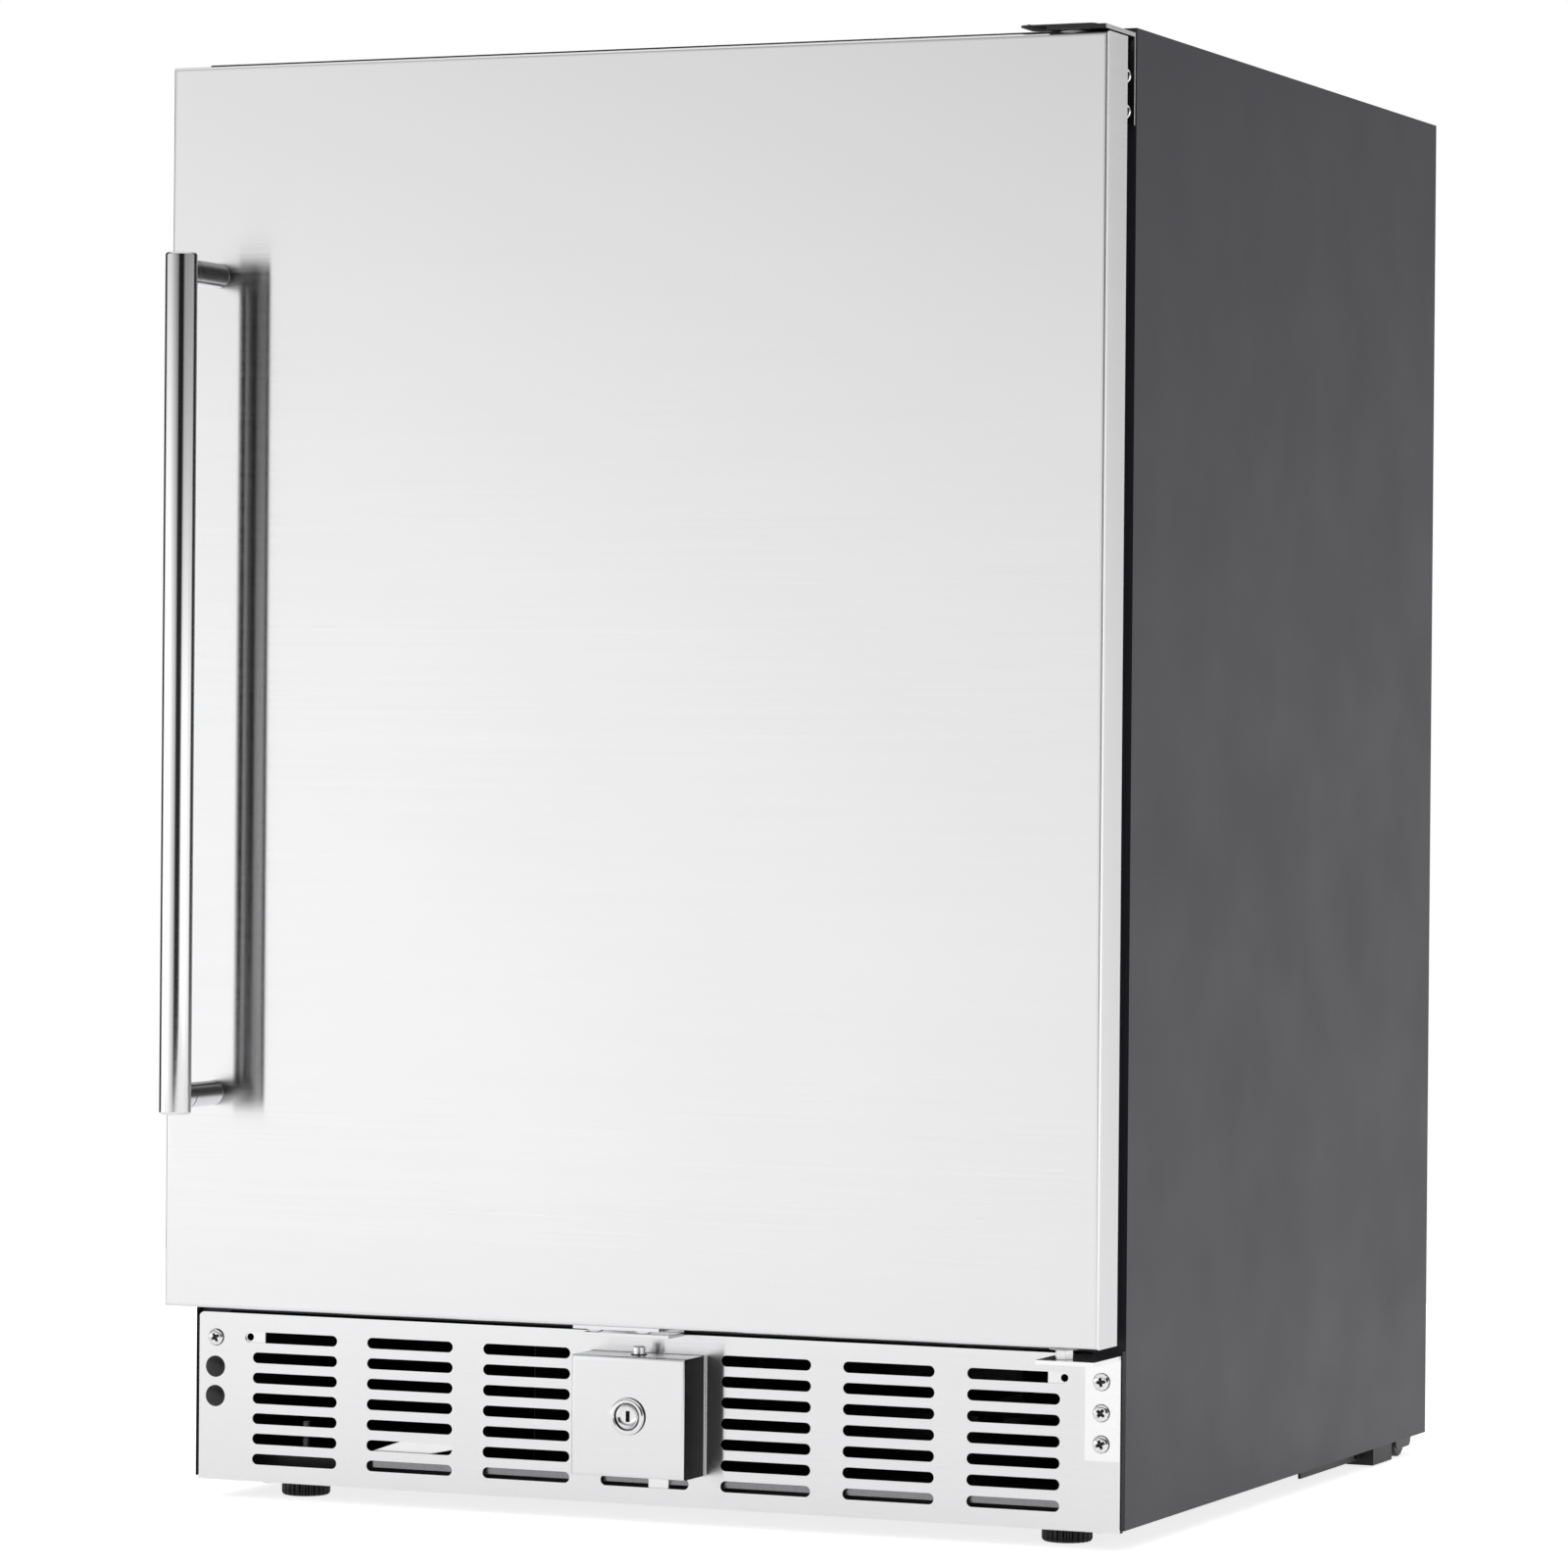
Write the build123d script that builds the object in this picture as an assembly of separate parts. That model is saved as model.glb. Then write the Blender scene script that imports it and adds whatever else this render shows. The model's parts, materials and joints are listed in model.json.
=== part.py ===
"""Undercounter refrigerator with a lockable, right-hinged door and a front kick grille."""

import os
from build123d import *

os.makedirs("parts", exist_ok=True)

# Millimetres, +Z up, +X to the right of the door, +Y from the door to the back.
# Everything is drawn with y = 0 on the cabinet's front plane, then shifted by centre_y
# so that the row's origin is on the floor under the middle of the whole object.

# Cabinet
cabinet_width = 597.0
cabinet_depth = 578.0
cabinet_base = 13.0
cabinet_height = 870.0
sheet = 1.0
side_wall = 45.0
back_wall = 50.0
floor_wall = 45.0
roof_wall = 45.0
liner_wall = 1.5
front_flange = 20.0
rear_flange = 12.0

# Cold compartment, with a step at the back over the machine room
cavity_floor = 160.0
step_front = 330.0
step_top = 330.0
liner_flange = 24.5
half_width = cabinet_width / 2
cavity_half = half_width - side_wall
cavity_roof = cabinet_height - roof_wall
cavity_back = cabinet_depth - back_wall
room_roof_front = cavity_floor - floor_wall
room_roof_rear = step_top - floor_wall
room_front = step_front + floor_wall

# Door
door_front = 47.0
door_skin_depth = 31.7
door_bottom = 120.1
door_top_gap = 6.5
door_sheet = 1.0
door_bend = 2.0
door_liner_wall = 2.0
gasket_gap = 0.3
gasket_width = 17.0
gasket_inset = 4.0
rim_half = cavity_half - 13.5
rim_width = 25.0
rim_reach = 12.0
rim_low_gap = 15.0
door_top = cabinet_height - door_top_gap
door_back = door_front - door_skin_depth
door_inner = door_back - door_liner_wall
door_mid = (door_bottom + door_top) / 2

# Door hinges
pivot_inset = 23.5
pivot_x = half_width - pivot_inset
pivot_y = -38.0
pin_radius = 4.0
pin_clearance = 0.05
leaf = 2.5
leaf_reach = 50.0
leaf_inset = 36.5
leaf_left = half_width - leaf_inset
bush_radius = 6.5
bush_flange = 8.5
bush_flange_height = 0.8
bush_depth = 15.0
collar_radius = 5.35
collar_height = 5.4
lower_leaf_bottom = 53.0
leaf_width = 22.0
front_leaf_left = half_width - leaf_width
upper_leaf_height = 53.0
upper_leaf_gap = 1.2
cap_left = half_width - 54.5
cap_right = half_width - 8.5
cap_front = -46.0
cap_back = -22.0
cap_height = 1.2
cap_wall = 0.5
cap_lip = 0.9
pin_head_height = 0.6
pin_head_radius = 6.0
clip_inset = 30.0
clip_width = 16.0
clip_outer = half_width - clip_inset
clip_inner = clip_outer - clip_width
clip_hole_x = clip_outer - 5.8
clip_hole_radius = 2.2
clip_hole_z = 99.2
clip_sheet = 1.2
clip_bottom = 92.0
clip_top = 107.0

# Screws, all the same pan-head size
head_radius = 5.2
head_height = 2.0
shank_radius = 2.5
hinge_screw_x = half_width - 12.0
upper_screw_x = half_width - 7.5
plug_x = half_width - 12.5
kick_screw_x = half_width - 13.0
cover_screw_x = half_width - 18.5
hinge_screw_pitch = 17.8
hinge_screw_top = 98.3

# Kick grille
grille_bottom = 12.0
grille_top = 113.5
grille_inset = 1.0
grille_front = -5.0
grille_foot = 8.0
grille_corner = 4.0
slot_length = 57.0
slot_height = 6.5
slot_columns = 7
slot_rows = 7
slot_pitch_x = 77.3
slot_pitch_z = 12.27
slot_first_z = 25.6
end_slot_extra = 5.6

# Lock
lock_x = 2.0
lock_z = 67.0
lock_width = 73.0
lock_bottom = 31.3
lock_top = 101.8
lock_depth = 28.6
lock_wall = 1.5
sleeve_radius = 9.5
rim_radius = 11.0
plug_radius = 7.0
lock_clearance = 0.05
bolt_radius = 3.65
bolt_y = -18.5
bolt_top = 107.0
bolt_travel = 9.0
crank_radius = bolt_travel / 2 ** 0.5
crank_pin_radius = 1.5
yoke_play = 0.3
strike_left = -29.0
strike_right = 26.0
strike_drop = 7.1
strike_screw_pitch = 30.7
strike_play = 1.35

# Handle
handle_x = 31.5 - half_width
handle_y = -93.0
bar_radius = 9.5
bar_length = 510.0
post_radius = 7.5
post_spacing = 489.0

# Shelves
shelf_low = step_top + 15.0
shelf_high = cavity_roof - 170.0
shelf_heights = {
    "shelf_lower": shelf_low, "shelf_middle": (shelf_low + shelf_high) / 2, "shelf_upper": shelf_high
}
shelf_front = 25.0
shelf_back = 455.0
shelf_side_gap = 2.5
wire_radius = 1.6
frame_rod_radius = 3.0
cross_rod_radius = 2.5
cross_rod_inset = 6.0
wire_pitch = 20.0
rib_reach = 8.0
rib_height = 4.0

# Control housing under the ceiling
control_half = 90.0
control_front = 30.0
control_back = 120.0
control_drop = 28.0
control_wall = 2.0
button_radius = 5.0
button_gap = 0.2
button_proud = 1.5
button_first_x = 20.0
button_pitch = 19.0

# Evaporator, fan and cover
cover_half = 215.0
cover_depth = 62.0
cover_low_z = step_top + 20.0
cover_high_z = cavity_roof - 10.0
cover_wall = 2.0
cold_fan_z = cavity_roof - 125.0
cold_fan_radius = 50.0
cold_coil_low = cover_low_z + 90.0
cold_coil_high = cold_fan_z - 100.0
cold_coil_pitch = 32.0

# Machine room
tray_z = 14.0
tray_sheet = 1.5
tray_front = 12.0
tray_back = 573.0
tray_gap = 0.2
tray_top = tray_z + tray_sheet
compressor_x = 130.0
compressor_y = 470.0
compressor_radius = 68.0
compressor_top = 210.0
grommet_height = 12.0
coil_x = -150.0
coil_thickness = 40.0
coil_front = 395.0
coil_back = 560.0
coil_bottom = 30.0
coil_top = 230.0
shroud_x = -106.0
shroud_depth = 26.0
room_fan_y = 477.0
room_fan_z = 128.0
room_fan_radius = 75.0
line_radius = 3.0

# Cord gland in the rear service cover
gland_x = half_width - 68.5
gland_z = 60.0
gland_radius = 8.0
gland_bore = 4.3
gland_flange = 12.0
gland_length = 12.0

# Feet and rollers
foot_x = half_width - 50.5
foot_y = 42.0
rail_inset = 12.5
rail_front = 354.0
rail_back = 476.0
rail_low = 5.0
skid_front = 477.5
skid_back = 517.0
skid_low = 1.0
rail_hole_y = 466.0
rail_hole_z = 9.2
rail_hole = 3.2
knob_radius = 14.8
knob_height = 12.5
stud_radius = 5.0
stud_clearance = 0.06
stud_top = 45.0
foot_collar = 9.0
foot_collar_height = 7.0
roller_radius = 13.0
roller_width = 20.0
roller_x = half_width - 17.5
roller_y = 545.0
axle_radius = 3.0
axle_clearance = 0.08
ear_gap = 1.0
ear_sheet = 2.0

handle_front = handle_y - bar_radius
centre_y = (cabinet_depth + handle_front) / 2
bottom = (Align.CENTER, Align.CENTER, Align.MIN)


def block(x0, x1, y0, y1, z0, z1):
    return Pos(x0, y0, z0) * Box(x1 - x0, y1 - y0, z1 - z0, align=(Align.MIN,) * 3)


def rod_x(y, z, x0, x1, radius):
    return Pos(x0, y, z) * Rot(0, 90, 0) * Cylinder(radius, x1 - x0, align=bottom)


def rod_y(x, z, y0, y1, radius):
    return Pos(x, y0, z) * Rot(-90, 0, 0) * Cylinder(radius, y1 - y0, align=bottom)


def rod_z(x, y, z0, z1, radius):
    return Pos(x, y, z0) * Cylinder(radius, z1 - z0, align=bottom)


def slot_y(x, z, y0, y1, length, height):
    """An obround prism along Y, its long side along X."""
    prism = extrude(SlotOverall(length, height), y1 - y0)
    return Pos(x, y1, z) * Rot(90, 0, 0) * prism


def frame_ring(half_x, low_z, high_z, width, y0, y1):
    outer = block(-half_x, half_x, y0, y1, low_z, high_z)
    inner_half = half_x - width
    return outer - block(-inner_half, inner_half, y0, y1, low_z + width, high_z - width)


def save(name, *shapes):
    solids = [Pos(0, -centre_y, 0) * solid for shape in shapes for solid in shape.solids()]
    whole = solids[0] if len(solids) == 1 else Compound(solids)
    export_step(whole, f"parts/{name}.step")


def cavity(growth, y0):
    """The cold space, grown outwards by growth, from the plane y0 back."""
    side = cavity_half + growth
    back = cavity_back + growth
    upper = block(-side, side, y0, back, step_top - growth, cavity_roof + growth)
    lower_back = step_front + growth
    lower = block(-side, side, y0, lower_back, cavity_floor - growth, step_top + growth)
    return upper + lower


# Screws: each entry is the point on the face that the head seats on
kick_screw = (-kick_screw_x, hinge_screw_top)
lower_screws = [(hinge_screw_x, hinge_screw_top - i * hinge_screw_pitch) for i in range(3)]
upper_screws = [(upper_screw_x, cabinet_height - drop) for drop in (27.5, 47.8)]
plugs = [(-plug_x, hinge_screw_top - i * hinge_screw_pitch) for i in (1, 2)]
cover_bottom = tray_z + 4
cover_screws = [
    (sign * cover_screw_x, z) for sign in (-1, 1) for z in (cover_bottom + 14, room_roof_rear - 8)
]
plug_hole = 4.5
shank_length = 8.0


def screw(x, z, face):
    """A pan-head screw driven backwards, its head in front of the plane y = face."""
    head = rod_y(x, z, face - head_height, face, head_radius)
    head = fillet(head.edges().sort_by(Axis.Y)[0], head_height * 0.7)
    return head + rod_y(x, z, face, face + shank_length, shank_radius)


def screw_holes(points, y0, y1):
    return [rod_y(x, z, y0, y1, shank_radius) for x, z in points]


front_holes = screw_holes([kick_screw] + lower_screws + upper_screws, -20, 20)


# Cabinet shell
def side_panel(sign):
    outer = half_width
    inner = half_width - sheet
    panel = block(inner, outer, 0, cabinet_depth, cabinet_base, cabinet_height)
    panel += block(outer - front_flange, inner, 0, sheet, cabinet_base, cabinet_height)
    rear_y = cabinet_depth - sheet
    panel += block(outer - rear_flange, inner, rear_y, cabinet_depth, cabinet_base, cabinet_height)
    if sign < 0:
        panel = mirror(panel, Plane.YZ)
    plug_holes = [rod_y(x, z, -20, 20, plug_hole) for x, z in plugs]
    return panel - front_holes - plug_holes


save("left_side_panel", side_panel(-1))
save("right_side_panel", side_panel(1))

top_half = half_width - sheet
top_inner = half_width - front_flange
flange_low = cavity_roof + liner_flange
top_z = cabinet_height - sheet
top_panel = block(-top_half, top_half, sheet, cabinet_depth - sheet, top_z, cabinet_height)
top_panel += block(-top_inner, top_inner, 0, sheet, flange_low, cabinet_height)
save("top_panel", top_panel)

panel_back = cabinet_depth - sheet - 1.5
panel_face = panel_back - sheet
panel_half = top_half - tray_gap
save("back_panel", block(-panel_half, panel_half, panel_face, panel_back, room_roof_rear + 2, top_z))

service_cover = block(-panel_half, panel_half, panel_face, panel_back, cover_bottom, room_roof_rear + 2)
louvres = []
for column in (-150, 0, 150):
    for row in range(7):
        louvres.append(slot_y(column, 90 + row * 22, panel_face - 1, panel_back + 1, 110, 6))
service_cover -= louvres
service_cover -= rod_y(gland_x, gland_z, panel_face - 1, panel_back + 1, gland_radius)
service_cover -= screw_holes(cover_screws, panel_face - 1, panel_back + 1)
save("rear_service_cover", service_cover)

gland = rod_y(gland_x, gland_z, cabinet_depth - gland_length, cabinet_depth, gland_radius)
gland += rod_y(gland_x, gland_z, panel_back, cabinet_depth, gland_flange)
gland -= rod_y(gland_x, gland_z, cabinet_depth - gland_length, cabinet_depth, gland_bore)
save("cord_gland", gland)

rail_half = half_width - front_flange
rail_high = cavity_floor - liner_flange
rail = block(-rail_half, rail_half, 0, sheet, grille_top + 1, rail_high)
rail += block(-rail_half, rail_half, sheet, 30, grille_top + 1, grille_top + 1.5)
save("front_bottom_rail", rail)

# Base tray, with a window for each roller and a threaded collar for each foot
tray_half = half_width - sheet - tray_gap
tray = block(-tray_half, tray_half, tray_front, tray_back, tray_z, tray_top)
tray += block(-tray_half, tray_half, tray_front, tray_front + tray_sheet, tray_top, tray_z + 12)
tray += block(-tray_half, tray_half, tray_back - tray_sheet, tray_back, tray_top, tray_z + 12)
window_half = roller_width / 2 + ear_gap + ear_sheet
for sign in (-1, 1):
    edge = sign * tray_half
    inner_edge = edge - sign * tray_sheet
    low_x, high_x = sorted((edge, inner_edge))
    tray += block(low_x, high_x, tray_front, tray_back, tray_top, tray_z + 26)
    centre = sign * foot_x
    tray += rod_z(centre, foot_y, tray_top, tray_top + foot_collar_height, foot_collar)
    bore = stud_radius + stud_clearance
    tray -= rod_z(centre, foot_y, tray_z, tray_top + foot_collar_height, bore)
    window = sign * roller_x
    tray -= block(window - window_half, window + window_half, roller_y - 18, roller_y + 18, 0, tray_top)
save("base_tray", tray)

# Rails and skids under the base tray
rail_parts = []
for sign in (-1, 1):
    rail_x = sign * (half_width - rail_inset)
    plate = block(rail_x - 1, rail_x + 1, rail_front, rail_back, rail_low, tray_z)
    plate -= rod_x(rail_hole_y, rail_hole_z, rail_x - 2, rail_x + 2, rail_hole)
    rail_parts.append(plate)
    rail_parts.append(block(rail_x - 9, rail_x + 9, skid_front, skid_back, skid_low, tray_z))
save("base_rails", *rail_parts)

# Foam between the shell and the liner
foam_half = half_width - sheet
foam = block(-foam_half, foam_half, liner_wall, panel_face, room_roof_front + 1, top_z)
foam -= block(-foam_half, foam_half, room_front, panel_face, 0, room_roof_rear)
foam -= cavity(liner_wall, 0)
foam -= [rod_y(x, z, 0, 20, shank_radius) for x, z in upper_screws]
save("insulation_foam", foam)

liner = cavity(liner_wall, 0)
flange_half = cavity_half + liner_flange
liner += block(
    -flange_half, flange_half, 0, liner_wall, cavity_floor - liner_flange, cavity_roof + liner_flange
)
liner -= cavity(0, -1)
for height in shelf_heights.values():
    for sign in (-1, 1):
        low_x, high_x = sorted((sign * cavity_half, sign * (cavity_half - rib_reach)))
        liner += block(low_x, high_x, shelf_front - 5, shelf_back, height - rib_height, height)
save("inner_liner", liner)


# Wire shelves: wires from front to back on three cross rods inside two side rods
def wire_shelf(height):
    rod_z_level = height + frame_rod_radius
    wire_z = rod_z_level + frame_rod_radius
    side = cavity_half - shelf_side_gap - frame_rod_radius
    first_y = shelf_front + cross_rod_inset
    last_y = shelf_back - cross_rod_inset
    rods = [rod_x(y, rod_z_level, -side, side, cross_rod_radius) for y in
            (first_y, (first_y + last_y) / 2, last_y)]
    rods += [rod_y(sign * side, rod_z_level, shelf_front, shelf_back, frame_rod_radius) for sign in (-1, 1)]
    count = int((side - wire_pitch / 2) // wire_pitch)
    for i in range(-count, count + 1):
        rods.append(rod_y(i * wire_pitch, wire_z, shelf_front, shelf_back, wire_radius))
    return rods[0].fuse(*rods[1:])


for name, height in shelf_heights.items():
    save(name, wire_shelf(height))

# Evaporator cover, open at the back against the liner
cover_front = cavity_back - cover_depth
cover = block(-cover_half, cover_half, cover_front, cavity_back, cover_low_z, cover_high_z)
cover_in = cover_half - cover_wall
cover -= block(
    -cover_in, cover_in, cover_front + cover_wall, cavity_back,
    cover_low_z + cover_wall, cover_high_z - cover_wall
)
for row in range(-4, 5):
    reach = 2 * (46 ** 2 - (row * 10) ** 2) ** 0.5
    cover -= slot_y(0, cold_fan_z + row * 10, cover_front - 1, cover_front + 3, reach, 5)
for row in range(5):
    for column in (-120, 0, 120):
        cover -= slot_y(column, cover_low_z + 25 + row * 14, cover_front - 1, cover_front + 3, 90, 6)
save("evaporator_cover", cover)


def finned_coil(half_length, low, high, depth, fins, tube_rows, tube_radius):
    """Fins standing across X, tubes along X, between z low and high, centred on x = y = 0."""
    step = 2 * half_length / (fins - 1)
    half_fin = 0.5
    fin_centres = [i * step - half_length for i in range(fins)]
    solids = [block(x - half_fin, x + half_fin, -depth / 2, depth / 2, low, high) for x in fin_centres]
    pitch = (high - low) / tube_rows
    for row in range(tube_rows):
        z = low + pitch * (row + 0.5)
        for y in (-depth / 4, depth / 4):
            solids.append(rod_x(y, z, -half_length - 6, half_length + 6, tube_radius))
    return solids[0].fuse(*solids[1:])


evaporator_y = cavity_back - 28
cold_coil_rows = max(1, int((cold_coil_high - cold_coil_low) // cold_coil_pitch))
cold_coil = finned_coil(180, cold_coil_low, cold_coil_high, 40, 25, cold_coil_rows, 4)
save("evaporator_coil", Pos(0, evaporator_y, 0) * cold_coil)

motor_front = cavity_back - 26


def fan_blades(radius, hub_radius, length, bore, blades, pitch_angle):
    """A fan about Z, from z = 0 to length, bored for its shaft."""
    hub = Cylinder(hub_radius, length, align=bottom)
    reach = radius - hub_radius + 4
    for i in range(blades):
        blade = Rot(pitch_angle, 0, 0) * Box(reach, radius * 0.55, 1.6)
        blade = Pos(hub_radius - 4 + reach / 2, 0, length / 2) * blade
        hub += Rot(0, 0, i * 360 / blades) * blade
    hub &= Cylinder(radius, length, align=bottom)
    return hub - Cylinder(bore, length * 0.8, align=bottom)


cold_fan_depth = 16.0
cold_fan = Pos(0, motor_front - 4, cold_fan_z) * Rot(90, 0, 0) * fan_blades(
    cold_fan_radius - 4, 14, cold_fan_depth, 3 + axle_clearance, 5, 28
)
cold_motor_shaft_end = motor_front - 4 - cold_fan_depth * 0.8
save("evaporator_fan_blade", cold_fan)
cold_motor = rod_y(0, cold_fan_z, motor_front, cavity_back, 26)
cold_motor += rod_y(0, cold_fan_z, cold_motor_shaft_end + 0.5, motor_front, 3)
save("evaporator_fan_motor", cold_motor)

# Ceiling control housing, open at the top against the liner
control_low = cavity_roof - control_drop
control = block(-control_half, control_half, control_front, control_back, control_low, cavity_roof)
control_in = control_half - control_wall
control -= block(
    -control_in, control_in, control_front + control_wall, control_back - control_wall,
    control_low + control_wall, cavity_roof
)
control_mid = (control_low + cavity_roof) / 2
display_half = 26.0
display_x = -45.0
window = (display_x - display_half, display_x + display_half)
control -= block(*window, control_front, control_front + control_wall, control_mid - 8, control_mid + 8)
lamp = (-60.0, 60.0, control_front + 25, control_back - 15)
control -= block(*lamp, control_low, control_low + control_wall)
button_names = ["power_button", "warmer_button", "colder_button"]
for i, name in enumerate(button_names):
    x = button_first_x + i * button_pitch
    hole = rod_y(x, control_mid, control_front, control_front + control_wall, button_radius + button_gap)
    control -= hole
    flange_y = control_front + control_wall + button_gap
    button = rod_y(x, control_mid, control_front - button_proud, flange_y, button_radius)
    button = fillet(button.edges().sort_by(Axis.Y)[0], 0.8)
    button += rod_y(x, control_mid, flange_y, flange_y + 1.5, button_radius + 1.5)
    save(name, button)
save("control_housing", control)
lens = block(*window, control_front, control_front + control_wall, control_mid - 8, control_mid + 8)
save("display_lens", lens)
save("lamp_lens", block(*lamp, control_low, control_low + control_wall))

# Kick grille: a folded sheet with seven columns of slots; the lock covers the middle column
grille_half = half_width - grille_inset
grille_sheet = 1.0
grille_in = grille_front + grille_sheet
grille = block(-grille_half, grille_half, grille_front, -tray_gap, grille_bottom, grille_top)
corners = [edge for edge in grille.edges().filter_by(Axis.Y) if edge.center().Z > grille_top - 1]
grille = fillet(corners, grille_corner)
grille -= block(
    -grille_half + grille_sheet, grille_half - grille_sheet, grille_in, 0,
    grille_bottom + grille_sheet, grille_top - grille_sheet
)
grille += block(
    -grille_half + 6, grille_half - 6, -tray_gap, grille_foot, grille_bottom, grille_bottom + 0.9
)
slots = []
middle = slot_columns // 2
for column in range(slot_columns):
    x = (column - middle) * slot_pitch_x
    for row in range(slot_rows):
        z = slot_first_z + row * slot_pitch_z
        if column == middle and row > 0:
            continue
        extra = end_slot_extra if row == slot_rows - 1 and column in (0, slot_columns - 1) else 0
        centre = x + (extra / 2 if x > 0 else -extra / 2)
        slots.append(slot_y(centre, z, grille_front - 1, grille_in + 1, slot_length + extra, slot_height))
grille -= slots
grille -= screw_holes([kick_screw] + lower_screws, grille_front - 1, 1)
grille -= [rod_y(x, z, grille_front - 1, 1, plug_hole) for x, z in plugs]
save("kick_grille", grille)

clips = []
for sign in (-1, 1):
    low_x, high_x = sorted((sign * clip_inner, sign * clip_outer))
    clip = block(low_x, high_x, grille_in, grille_in + clip_sheet, clip_bottom, clip_top)
    clip += block(low_x, high_x, grille_in, -tray_gap, clip_top, clip_top + clip_sheet)
    clips.append(clip - rod_y(sign * clip_hole_x, clip_hole_z, grille_in, 0, clip_hole_radius))
save("panel_clips", *clips)

plug_solids = []
for x, z in plugs:
    dome = rod_y(x, z, grille_front - 2.2, grille_front, 6.5)
    dome = fillet(dome.edges().sort_by(Axis.Y)[0], 2.0)
    plug_solids.append(dome + rod_y(x, z, grille_front, 3, plug_hole))
save("hole_plugs", *plug_solids)

# Hinge brackets and pins
lower_face = grille_front - leaf
bracket_right = half_width - 0.5
lower_bracket = block(
    front_leaf_left, bracket_right, lower_face, grille_front, lower_leaf_bottom, grille_top
)
lower_leaf_right = bracket_right - 0.5
lower_bracket += block(
    leaf_left, lower_leaf_right, -leaf_reach, grille_front, grille_top - leaf, grille_top
)
lower_bracket -= rod_z(pivot_x, pivot_y, grille_top - leaf, grille_top, pin_radius)
lower_bracket -= screw_holes(lower_screws, lower_face - 1, 0)
save("lower_hinge_bracket", lower_bracket)

upper_leaf_z = door_top + upper_leaf_gap
upper_leaf_top = upper_leaf_z + leaf
upper_bottom = upper_leaf_top - upper_leaf_height
upper_bracket = block(front_leaf_left, bracket_right, -leaf, 0, upper_bottom, upper_leaf_top)
upper_bracket += block(leaf_left, bracket_right, -leaf_reach, 0, upper_leaf_z, upper_leaf_top)
upper_bracket -= rod_z(pivot_x, pivot_y, upper_leaf_z, upper_leaf_top, pin_radius)
upper_bracket -= screw_holes(upper_screws, -leaf - 1, 1)
save("upper_hinge_bracket", upper_bracket)

lower_pin = rod_z(pivot_x, pivot_y, grille_top - leaf, door_bottom + bush_depth - 2, pin_radius)
collar = extrude(RegularPolygon(collar_radius, 6), collar_height)
lower_pin += Pos(pivot_x, pivot_y, grille_top) * collar
upper_pin = rod_z(pivot_x, pivot_y, door_top - bush_depth + 2, upper_leaf_top, pin_radius)
upper_pin += rod_z(
    pivot_x, pivot_y, upper_leaf_top, upper_leaf_top + pin_head_height, pin_head_radius
)
save("hinge_pins", lower_pin, upper_pin)

cap_z = upper_leaf_top
cap_top = cap_z + cap_height
cap = block(cap_left, cap_right, cap_front, cap_back, cap_z, cap_top)
cap = fillet(cap.edges().filter_by(Axis.Z), 4)
cap += block(cap_left + 3, cap_left + 5, cap_front + 5, cap_back - 5, cap_z, cap_top + cap_lip)
cap_pocket = block(cap_left + 12, cap_right - 2, cap_front + 2, cap_back - 2, cap_z, cap_top - cap_wall)
save("upper_hinge_cap", cap - cap_pocket)

# Lock housing on the kick grille, with its sleeve, plug and bolt
lock_lip = 0.8
lock_flange = 1.0
lock_left = lock_x - lock_width / 2
lock_right = lock_x + lock_width / 2
lock_face = grille_front - lock_depth
housing = block(lock_left, lock_right, lock_face, grille_front, lock_bottom, lock_top)
face_edges = housing.faces().sort_by(Axis.Y)[0].edges()
housing = fillet(list(housing.edges().filter_by(Axis.Y)) + list(face_edges), 1.2)
housing += block(
    lock_left - lock_lip, lock_right + lock_lip, grille_front - lock_flange, grille_front,
    lock_bottom - lock_lip, lock_top + lock_lip
)
housing -= block(
    lock_left + lock_wall, lock_right - lock_wall, lock_face + lock_wall, grille_front,
    lock_bottom + lock_wall, lock_top - lock_wall
)
housing -= rod_y(lock_x, lock_z, lock_face - 1, lock_face + 5, sleeve_radius)
housing -= rod_z(lock_x, bolt_y, lock_top - 5, lock_top + 5, bolt_radius + lock_clearance)
save("lock_housing", housing)

rim_face = lock_face - 2.5
sleeve_back = lock_face + 13.6
sleeve = rod_y(lock_x, lock_z, lock_face, sleeve_back, sleeve_radius)
rim = rod_y(lock_x, lock_z, rim_face, lock_face, rim_radius)
sleeve += fillet(rim.edges().sort_by(Axis.Y)[0], 1.0)
plug_face = rim_face + 1.2
sleeve -= rod_y(lock_x, lock_z, rim_face, plug_face, plug_radius + 1.2)
sleeve -= rod_y(lock_x, lock_z, plug_face, sleeve_back, plug_radius + lock_clearance)
save("lock_cylinder", sleeve)

crank_offset = crank_radius / 2 ** 0.5
cam_face = sleeve_back + 0.3
cam_back = cam_face + 2
yoke_front = cam_back + 0.5
yoke_back = yoke_front + 3.5
crank_x = lock_x + crank_offset
crank_z = lock_z - crank_offset
plug = rod_y(lock_x, lock_z, plug_face, cam_face, plug_radius)
plug += rod_y(lock_x, lock_z, cam_face, cam_back, 8.5)
plug += rod_y(crank_x, crank_z, cam_back, yoke_back + 0.5, crank_pin_radius)
plug -= block(lock_x - 0.8, lock_x + 0.8, plug_face, plug_face + 8, lock_z - 4, lock_z + 4)
save("lock_plug", plug)

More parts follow.
